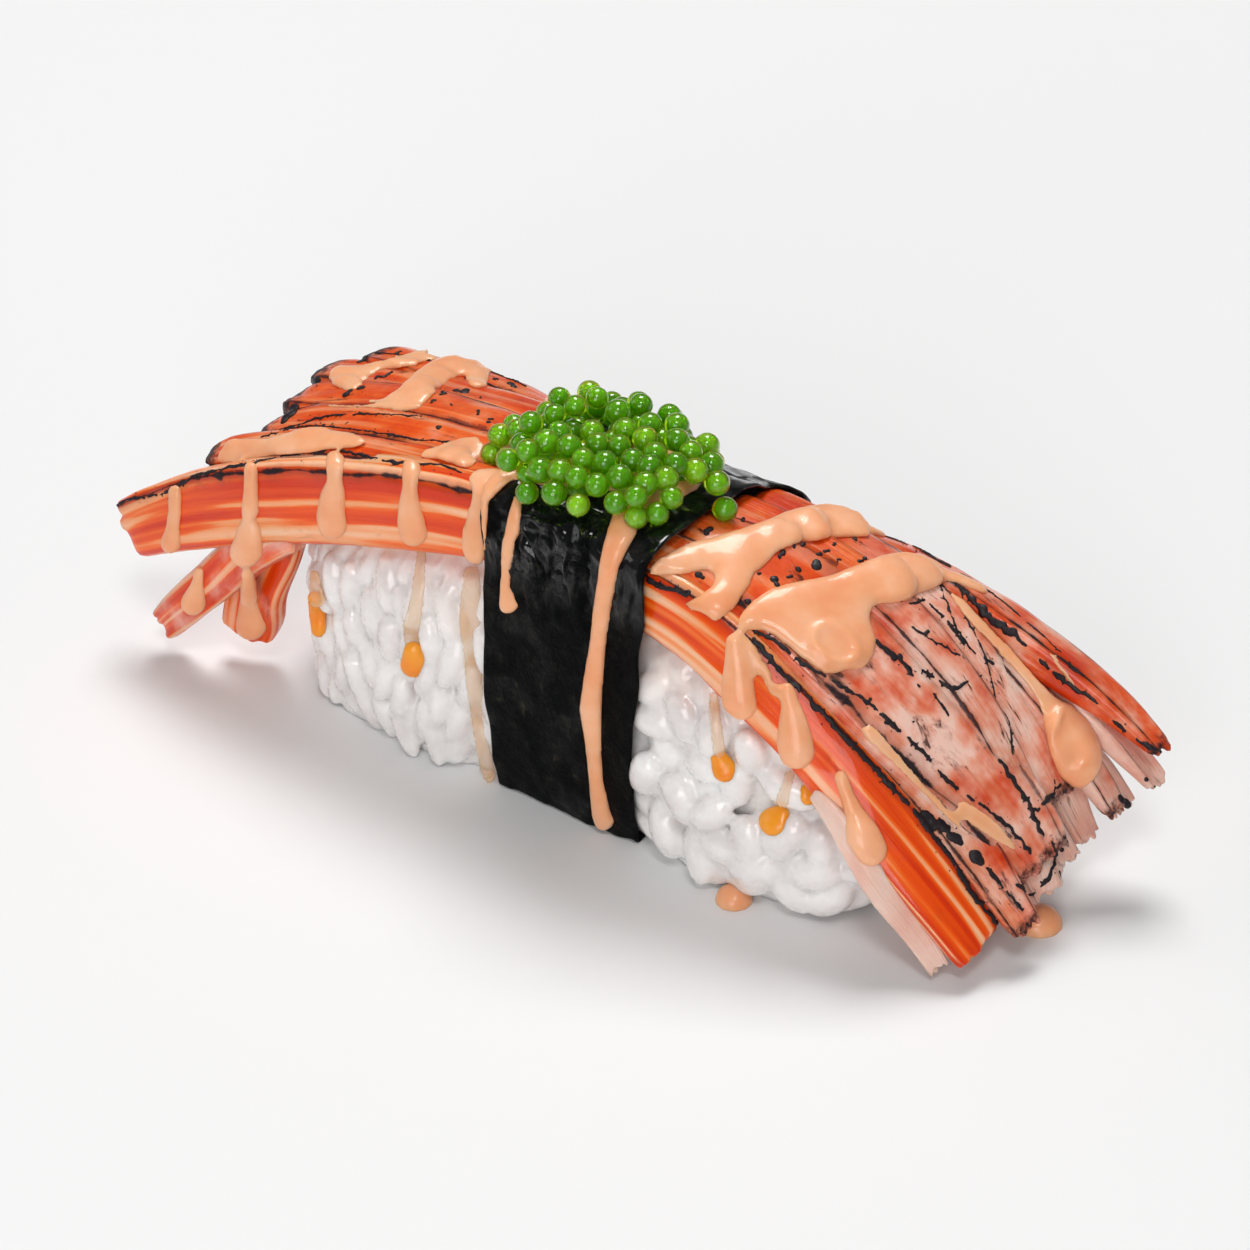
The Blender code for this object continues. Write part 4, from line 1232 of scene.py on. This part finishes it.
char = {
    "seed": 61, "step": 0.07, "voxel": 0.1,   # mm
    "gap": (0.07, -0.33),          # where a line breaks off: waves, and the level below which it does
    "drift": (0.16, 0.9),          # a line's wander: waves, and the share of its half width
    "width": (0.55, 0.8, 0.35, 0.5, 0.45),    # share of the half width, more between gaps, and its own waves
    "height": (0.07, 0.35),        # mm, and more for each mm of radius
    "crumbs": (0.22, 1.6, (0.06, 0.12)),      # how often beside a line, how far off, and radius, mm
    "blobs": 3, "blobSizes": (0.5, 0.85), "blobHeight": 0.14,   # of a blister
    "lines": [   # half width, then points in the photograph's pixels
        (2.2, [(117, 505), (127, 499), (160, 495), (185, 482), (197, 475), (230, 467), (250, 464), (277, 457),
               (307, 452), (340, 451), (365, 456), (390, 462), (415, 464), (440, 465), (462, 472)]),
        (1.6, [(262, 437), (290, 429), (310, 426), (337, 427), (360, 430), (390, 435), (420, 440), (450, 442)]),
        (1.8, [(280, 430), (297, 425), (322, 417), (340, 414), (362, 414), (390, 414), (422, 416)]),
        (7, [(283, 420), (298, 412)]), (5, [(296, 408), (308, 404)]), (5, [(345, 394), (364, 387)]),
        (4, [(196, 468), (208, 462)]), (3, [(228, 456), (236, 455)]), (5, [(308, 384), (320, 380)]),
        (3, [(326, 362), (338, 362)]), (4, [(358, 362), (366, 357)]), (4, [(372, 347), (386, 346)]),
        (3, [(376, 380), (393, 372)]), (3, [(396, 354), (408, 351)]),
        (2.4, [(754, 630), (780, 644), (803, 664), (834, 681), (863, 699), (883, 716), (909, 739), (929, 759),
               (946, 779), (963, 793), (989, 810), (1009, 827), (1031, 853)]),
        (3.0, [(754, 639), (780, 670), (803, 693), (826, 716), (849, 741), (871, 764), (894, 790), (917, 813),
               (934, 836), (954, 861), (969, 890), (991, 916), (1014, 944)]),
        (5.0, [(925, 815), (946, 830), (969, 850), (986, 867)]),
        (2.0, [(986, 867), (1000, 884), (1020, 907), (1029, 927)]),
        (2.6, [(1000, 759), (1014, 781), (1029, 804), (1043, 836)]),
        (1.4, [(934, 570), (957, 630), (974, 653), (994, 664)]), (2.2, [(946, 573), (971, 599)]),
        (4.2, [(971, 599), (991, 619), (1014, 633)]),
        (2.6, [(1014, 633), (1031, 653), (1054, 673), (1077, 690), (1100, 704), (1114, 721), (1134, 739),
               (1157, 750), (1171, 761)]), (1.8, [(877, 524), (900, 539), (923, 550), (951, 567)]),
        (3.5, [(877, 641), (894, 659)]), (3.0, [(900, 656), (920, 687)]),
        (2.4, [(923, 670), (954, 690), (969, 681)]), (2.2, [(934, 693), (949, 716)]),
        (1.8, [(906, 624), (934, 641), (960, 656)]), (2.0, [(896, 606), (925, 600)]),
        (2.0, [(930, 604), (950, 624), (964, 645)]), (3.0, [(1037, 810), (1054, 793), (1060, 784)]),
        (2.0, [(1017, 884), (1031, 896), (1049, 879), (1057, 853), (1051, 841)]), (4.0, [(1062, 850), (1068, 860)]),
        (4.0, [(1118, 797), (1128, 806)]), (3.0, [(1146, 780), (1156, 786)]), (4.0, [(1160, 757), (1172, 762)]),
        (3.0, [(649, 580), (663, 587), (689, 593)]), (1.4, [(640, 570), (650, 578)]),
    ],
    "blisters": [   # x, y, radius in pixels
        (462, 392, 7), (442, 394, 4), (432, 401, 4), (477, 380, 5), (512, 384, 6), (467, 379, 3), (497, 379, 4),
        (415, 396, 3), (395, 401, 3), (490, 420, 4), (477, 412, 3), (437, 427, 4), (452, 405, 2), (480, 398, 2),
        (774, 583, 6), (789, 576, 4), (800, 569, 4), (817, 564, 7), (780, 556, 3), (803, 544, 4), (820, 553, 4),
        (783, 553, 4), (794, 546, 3), (826, 551, 3), (709, 531, 5), (743, 521, 4), (700, 576, 5), (746, 603, 4),
        (863, 561, 4), (854, 539, 3), (849, 533, 2), (834, 545, 3), (812, 538, 2), (838, 560, 3), (760, 575, 3),
        (887, 721, 3), (927, 634, 3), (902, 600, 3), (913, 722, 2), (980, 676, 2), (846, 690, 3), (870, 700, 3)],
    # torched edges on the side that the photograph doesn't show: half width, x and y in mm
    "behind": [
        (0.16, [(-38, 11.2), (-30, 10.6), (-22, 9.9)]), (0.14, [(12, 11.2), (22, 12.0), (32, 12.6), (43, 13.0)]),
        (0.12, [(-37, 6.9), (-28, 7.0), (-20, 6.4)]), (0.12, [(16, 6.6), (27, 7.2), (37, 7.6)]),
    ],
}


def lineStamps(tree, pick, half, start, end, caster, pitch):
    (x0, y0), (x1, y1) = start, end
    often, far, crumbs = char["crumbs"]
    least, more, level, uneven, waves = char["width"]
    low, slope = char["height"]
    length = math.hypot(x1 - x0, y1 - y0)
    count = max(2, int(length / (char["step"] * pitch)))
    stamps = []
    for k in range(count):
        t = k / count
        x, y = lerp(x0, x1, t), lerp(y0, y1, t)
        spot = Vector((x, y, 0)) * 11.5 / pitch
        gap = noise.noise(spot * char["gap"][0])
        if gap < char["gap"][1]:
            continue
        drift = noise.noise(spot * char["drift"][0] + Vector((7, 3, 0))) * half * char["drift"][1]
        wide = least + more * max(0.0, gap + level) + uneven * noise.noise(spot * waves)
        spots = [(drift, max(crumbs[0], wide * half / pitch))]
        if pick.random() < often:
            spots.append((drift + pick.gauss(0, far) * half, pick.uniform(*crumbs)))
        for off, size in spots:
            way = caster(x - (y1 - y0) / length * off, y + (x1 - x0) / length * off)
            place, normal, face, distance = tree.ray_cast(*way)
            if place is not None:
                stamps.append(stampAt(place, normal, size, low + slope * size))
    return stamps


def makeChar():
    tree = treeOf(list(crab.values()))
    pick = random.Random(char["seed"])
    stamps = []
    for lines, caster, pitch in ((char["lines"], fromCamera, photoPitch), (char["behind"], fromBehind, 1.0)):
        for half, marks in lines:
            for start, end in zip(marks, marks[1:]):
                stamps += lineStamps(tree, pick, half, start, end, caster, pitch)
    for x, y, radius in char["blisters"]:   # each of a few uneven blobs
        for blob in range(char["blobs"]):
            px, py = x + pick.gauss(0, 0.38) * radius, y + pick.gauss(0, 0.32) * radius
            wide = pick.uniform(*char["blobSizes"]) * radius / photoPitch
            place, normal, face, distance = tree.ray_cast(*fromCamera(px, py))
            if place is not None:
                facing = (normal - photoRay(px, py) * sauce["lean"]).normalized()
                stamps.append(stampAt(place, facing, wide, char["blobHeight"]))
    return makeSauce("charCrust", stamps, char["voxel"], 1)


charCrust = makeChar()


# Materials

colours = {   # ramps: (level, colour) pairs
    "skin": [(0.38, (0.67, 0.034, 0.001)), (0.50, (0.84, 0.085, 0.002)), (0.535, (0.88, 0.15, 0.016)),
             (0.565, (0.90, 0.32, 0.12)), (0.66, (0.92, 0.50, 0.30))],
    "plain": [(0.35, (0.57, 0.031, 0.002)), (0.50, (0.75, 0.090, 0.006)), (0.66, (0.83, 0.21, 0.055))],
    "flesh": [(0.36, (0.72, 0.17, 0.09)), (0.47, (0.81, 0.36, 0.25)), (0.60, (0.87, 0.56, 0.46))],
    "charred": [(0.4, (0.010, 0.007, 0.009)), (0.62, (0.035, 0.018, 0.022)), (0.75, (0.10, 0.03, 0.02))],
    "crust": [(0.3, (0.006, 0.004, 0.006)), (0.62, (0.016, 0.009, 0.012)), (0.82, (0.055, 0.016, 0.012))],
    "rice": [(0.3, (0.74, 0.70, 0.69)), (0.5, (0.83, 0.80, 0.785)), (0.7, (0.90, 0.88, 0.865))],
    "nori": [(0.40, (0.0006, 0.0009, 0.0013)), (0.53, (0.0022, 0.0028, 0.0034)), (0.60, (0.010, 0.011, 0.009)),
             (0.68, (0.060, 0.052, 0.022))],
    "thinFlesh": (0.86, 0.64, 0.55, 1.0), "browned": (0.28, 0.035, 0.008, 1.0), "blush": (0.93, 0.72, 0.64, 1.0),
}


def crabMaterial():
    material, position = newMaterial("torchedCrab")
    tree = material.node_tree
    u, v = split(addNode(tree, "ShaderNodeUVMap", uv_map="strip"))[:2]
    pale, striped, charPatch = (marked(tree, name) for name in ("pale", "striped", "charPatch"))
    charFront, charBack = marked(tree, "charFront"), marked(tree, "charBack")
    shift = marked(tree, "seed") * 37.0
    slow, quick, height = mottled(position, 260.0, 1400.0)

    def drawnOut(along, across, *detail):  # noise along the strip and round it
        return noised(combined(u * along, v * across, shift), 1.0, *detail)

    stripes, fine = drawnOut(0.24, 18.0, 1.5, 0.40, 0.25), drawnOut(1.6, 60.0, 3.0, 0.6)
    patches = drawnOut(2.0, 16.0, 4.0, 0.72, 0.4)
    rough = noised(position, 900.0, 4.0, 0.7)
    skin = ramped(stripes + (fine - 0.5) * 0.10, colours["skin"])
    base = mixed(striped, ramped(slow, colours["plain"]), skin)
    # pale flesh towards the torn end
    flesh = ramped(fine * 0.25 + slow * 0.75, colours["flesh"])
    flesh = mixed(ranged(pale, 0.8, 1.0, 0.0, 0.65), flesh, colours["thinFlesh"])
    bare = ranged(pale + (slow - 0.5) * 0.9, 0.2, 0.7) * ranged(u + slow * 0.8, 3.3, 2.6)
    base = mixed(bare, base, flesh)
    # torched lines along the strip's upper edges, crumbly and of uneven width
    broad = noised(combined(u * 2.2, shift, 0.0), 1.0, 3.0, 0.6)
    waver = (noised(combined(u * 1.5, shift, 3.0), 1.0, 2.0) - 0.5) * 0.05
    width = ranged(broad, 0.40, 0.75, 0.0, 0.020) * (rough * 2.4 - 0.35)
    lines, glows = [], []
    for corner, weight in ((0.385, charFront), (0.615, charBack)):
        near = width - calc("ABSOLUTE", v + waver - corner)
        lines.append(ranged(near, -0.004, 0.004) * weight)
        glows.append(ranged(near, -0.035, 0.006) * weight)
    # torched patches on top
    onTop = ranged(calc("ABSOLUTE", v - 0.5), 0.19, 0.13) * charPatch
    patch = ranged(patches, 0.60, 0.66) * onTop * ranged(slow, 0.46, 0.54, 0.15, 1.0)
    scorched = ranged(patches, 0.52, 0.64) * onTop * ranged(slow, 0.42, 0.55)
    # torched ends, on the left-hand leaves further in
    tipReach = u + rough * 0.5 - ranged(pale, 0.15, 0.3, 0.15, 0.0)
    torched = ranged(striped, 0.9, 0.6) * ranged(greatest(charFront, charBack), 0.2, 0.8)
    black = greatest(*lines, patch, ranged(tipReach, 0.36, 0.18) * torched)
    brown = greatest(*glows, scorched, black)
    base = mixed(brown * 0.6, base, colours["browned"])
    ridges = bumped(fine + height * 0.6, 0.00022, 0.55)
    return shaded(material, {
        "Subsurface Weight": 0.22, "Subsurface Scale": 0.0012, "Subsurface Radius": (1.0, 0.32, 0.16),
        "Coat Roughness": 0.1, "IOR": 1.4, "Specular IOR Level": 0.22,
        "Base Color": mixed(black, base, ramped(rough, colours["charred"])),
        "Roughness": ranged(black, 0.0, 1.0, 0.30, 0.72),
        "Coat Weight": ranged(black, 0.0, 1.0, 0.48, 0.12),
        "Normal": bumped(black * rough, 0.0006, 0.9, ridges)})


def charMaterial():
    material, position = newMaterial("blackChar")
    slow, quick, height = mottled(position, 500.0, 2600.0)
    return shaded(material, {
        "Specular IOR Level": 0.3,
        "Base Color": ramped(quick, colours["crust"]),
        "Roughness": ranged(slow, 0.3, 0.7, 0.35, 0.75),
        "Normal": bumped(height, 0.0002, 0.7)})


def riceMaterial():
    material, position = newMaterial("cookedRice")
    slow, quick, height = mottled(position, 220.0, 1100.0)
    blush = ranged(split(position)[2] + slow * 0.012, 0.019, 0.030, 0.0, 0.4)  # pinker towards the top of the rice, under the crab
    return shaded(material, {
        "Subsurface Weight": 1.0, "Subsurface Scale": 0.0009, "Subsurface Radius": (1.0, 0.93, 0.90),
        "Coat Weight": 0.7, "Coat Roughness": 0.08, "IOR": 1.4,
        "Base Color": mixed(blush, ramped(slow, colours["rice"]), colours["blush"]),
        "Roughness": ranged(quick, 0.3, 0.7, 0.18, 0.36),
        "Normal": bumped(height, 0.0002, 0.3)})


def noriMaterial():
    material, position = newMaterial("dampNori")
    slow, quick, height = mottled(position, 260.0, 1500.0)
    threads = noised(scaled(position, (1.0, 1.0, 0.7)), 900.0, 6.0, 0.75, 0.5)
    streaks = noised(scaled(position, (1.0, 1.0, 0.3)), 420.0, 3.0, 0.6, 0.4)
    # wetter where it bends over the crab
    wet = ranged(slow, 0.50, 0.66) * 0.16 + ranged(split(position)[2], 0.022, 0.028) * ranged(streaks, 0.42, 0.54)
    return shaded(material, {
        "Roughness": 0.5, "Coat Roughness": 0.08, "Specular IOR Level": 0.07,
        "Base Color": ramped(threads * 0.75 + slow * 0.25, colours["nori"]),
        "Coat Weight": calc("MULTIPLY", wet, ranged(threads, 0.40, 0.56, 0.5, 1.0), clamp=True),
        "Normal": bumped(threads + quick * 0.5, 0.0009, 1.0)})


def sauceMaterial(name, tones, subsurface, alpha=1.0):
    material, position = newMaterial(name)
    slow, quick, height = mottled(position, 240.0, 1500.0)
    return shaded(material, {
        "Subsurface Weight": subsurface, "Subsurface Scale": 0.0012, "Subsurface Radius": (1.0, 0.5, 0.25),
        "Coat Weight": 0.32, "Coat Roughness": 0.08, "IOR": 1.38, "Alpha": alpha,
        "Base Color": ramped(slow, list(zip((0.3, 0.5, 0.7), tones))),
        "Roughness": ranged(quick, 0.3, 0.7, 0.32, 0.42),
        "Normal": bumped(height, 0.00008, 0.12)})


def roeMaterial(name, tones, settings):
    material, position = newMaterial(name)
    slow, quick, height = mottled(position, 300.0, 2000.0)
    tone = marked(material.node_tree, "seed") * 0.65 + slow * 0.35
    return shaded(material, {
        **settings,
        "Base Color": ramped(tone, list(zip((0.2, 0.5, 0.8), tones))),
        "Normal": bumped(height, 0.00005, 0.2)})


shellLook = roeMaterial("greenRoe", [(0.42, 0.86, 0.01), (0.54, 0.92, 0.02), (0.72, 0.97, 0.06)], {
    "Transmission Weight": 0.86, "Roughness": 0.07, "IOR": 1.33, "Coat Weight": 0.6, "Coat Roughness": 0.15,
    "Subsurface Weight": 1.0, "Subsurface Scale": 0.001, "Subsurface Radius": (0.6, 1.0, 0.15)})
yolkLook = roeMaterial("greenYolk", [(0.04, 0.27, 0.001), (0.10, 0.43, 0.002), (0.29, 0.65, 0.008)], {
    "Roughness": 0.5, "Subsurface Weight": 0.5, "Subsurface Scale": 0.0008, "Subsurface Radius": (0.45, 1.0, 0.12),
    "Specular IOR Level": 0.1})
coatLook = sauceMaterial("creamSauce", [(0.86, 0.34, 0.155), (0.89, 0.405, 0.205), (0.92, 0.48, 0.28)], 0.4)
filmLook = sauceMaterial("thinSauce", [(0.98, 0.52, 0.24), (0.98, 0.58, 0.32), (0.98, 0.64, 0.40)], 0.5, 0.38)
dropLook = sauceMaterial("orangeSauce", [(0.90, 0.25, 0.008), (0.93, 0.33, 0.015), (0.94, 0.42, 0.04)], 0.4)
crabLook = crabMaterial()
print("materials made")


# Finishing: metres, bodies and nodes

finished = [
    (crab["crabStickFront"], crabLook, "crab_stick_front", "crab"),
    (crab["crabStickMiddle"], crabLook, "crab_stick_middle", "crab"),
    (crab["crabStickBack"], crabLook, "crab_stick_back", "crab"),
    (charCrust, charMaterial(), None, "crab"),
    (riceHeap, riceMaterial(), "rice_bed", "rice"),
    (noriSheet, noriMaterial(), "nori_band", "nori"),
    (roeBeads, shellLook, "roe_heap", "roe"),
    (roeYolks, yolkLook, None, "roe"),
    (sauceCoat, coatLook, None, "crab"),
    (sauceFilm, filmLook, None, "crab"),
    (sauceDrops, dropLook, None, "crab"),
]
for piece, look, node, slot in finished:
    piece.scale = (0.001, 0.001, 0.001)
    settle(piece)
    piece.data.materials.clear()
    piece.data.materials.append(look)
    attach(piece, "root")
    if node:
        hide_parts(node)


# Floor and light

stage = {
    "floor": ((0.80, 0.80, 0.80), (0.82, 0.82, 0.82)),
    "world": 0.16,
    "lamps": {   # place, mm; size, mm; watts
        "key": ((-280, 420, 1060), 460, 9.9),
        "front": ((320, -760, 330), 440, 2.9),
        "spark": ((330, -430, 860), 220, 2.1),
        "side": ((-700, -420, 420), 380, 0.7),
    },
}

bpy.context.scene.view_settings.view_transform = "Standard"
deselectAll()
bpy.ops.mesh.primitive_plane_add(size=6.0, location=(0, 0, 0))
floor = bpy.context.object
floor.name = "floor"
floorLook, place = newMaterial("paleFloor")
tones = ramped(noised(place, 4.0), list(zip((0.3, 0.7), stage["floor"])))
floor.data.materials.append(shaded(floorLook, {"Roughness": 0.7, "Base Color": tones}))

world = bpy.data.worlds.new("studio")
bpy.context.scene.world = world
world.use_nodes = True
background = world.node_tree.nodes["Background"]
background.inputs["Color"].default_value = (1, 1, 1, 1)
background.inputs["Strength"].default_value = stage["world"]
for name, (place, size, power) in stage["lamps"].items():
    place = Vector(place)
    turn = (Vector(view["target"]) - place).to_track_quat("-Z", "Y").to_euler()
    bpy.ops.object.light_add(type="AREA", location=place * 0.001, rotation=turn)
    lamp = bpy.context.object
    lamp.name = name
    lamp.data.size = size * 0.001
    lamp.data.energy = power
print("stage set")
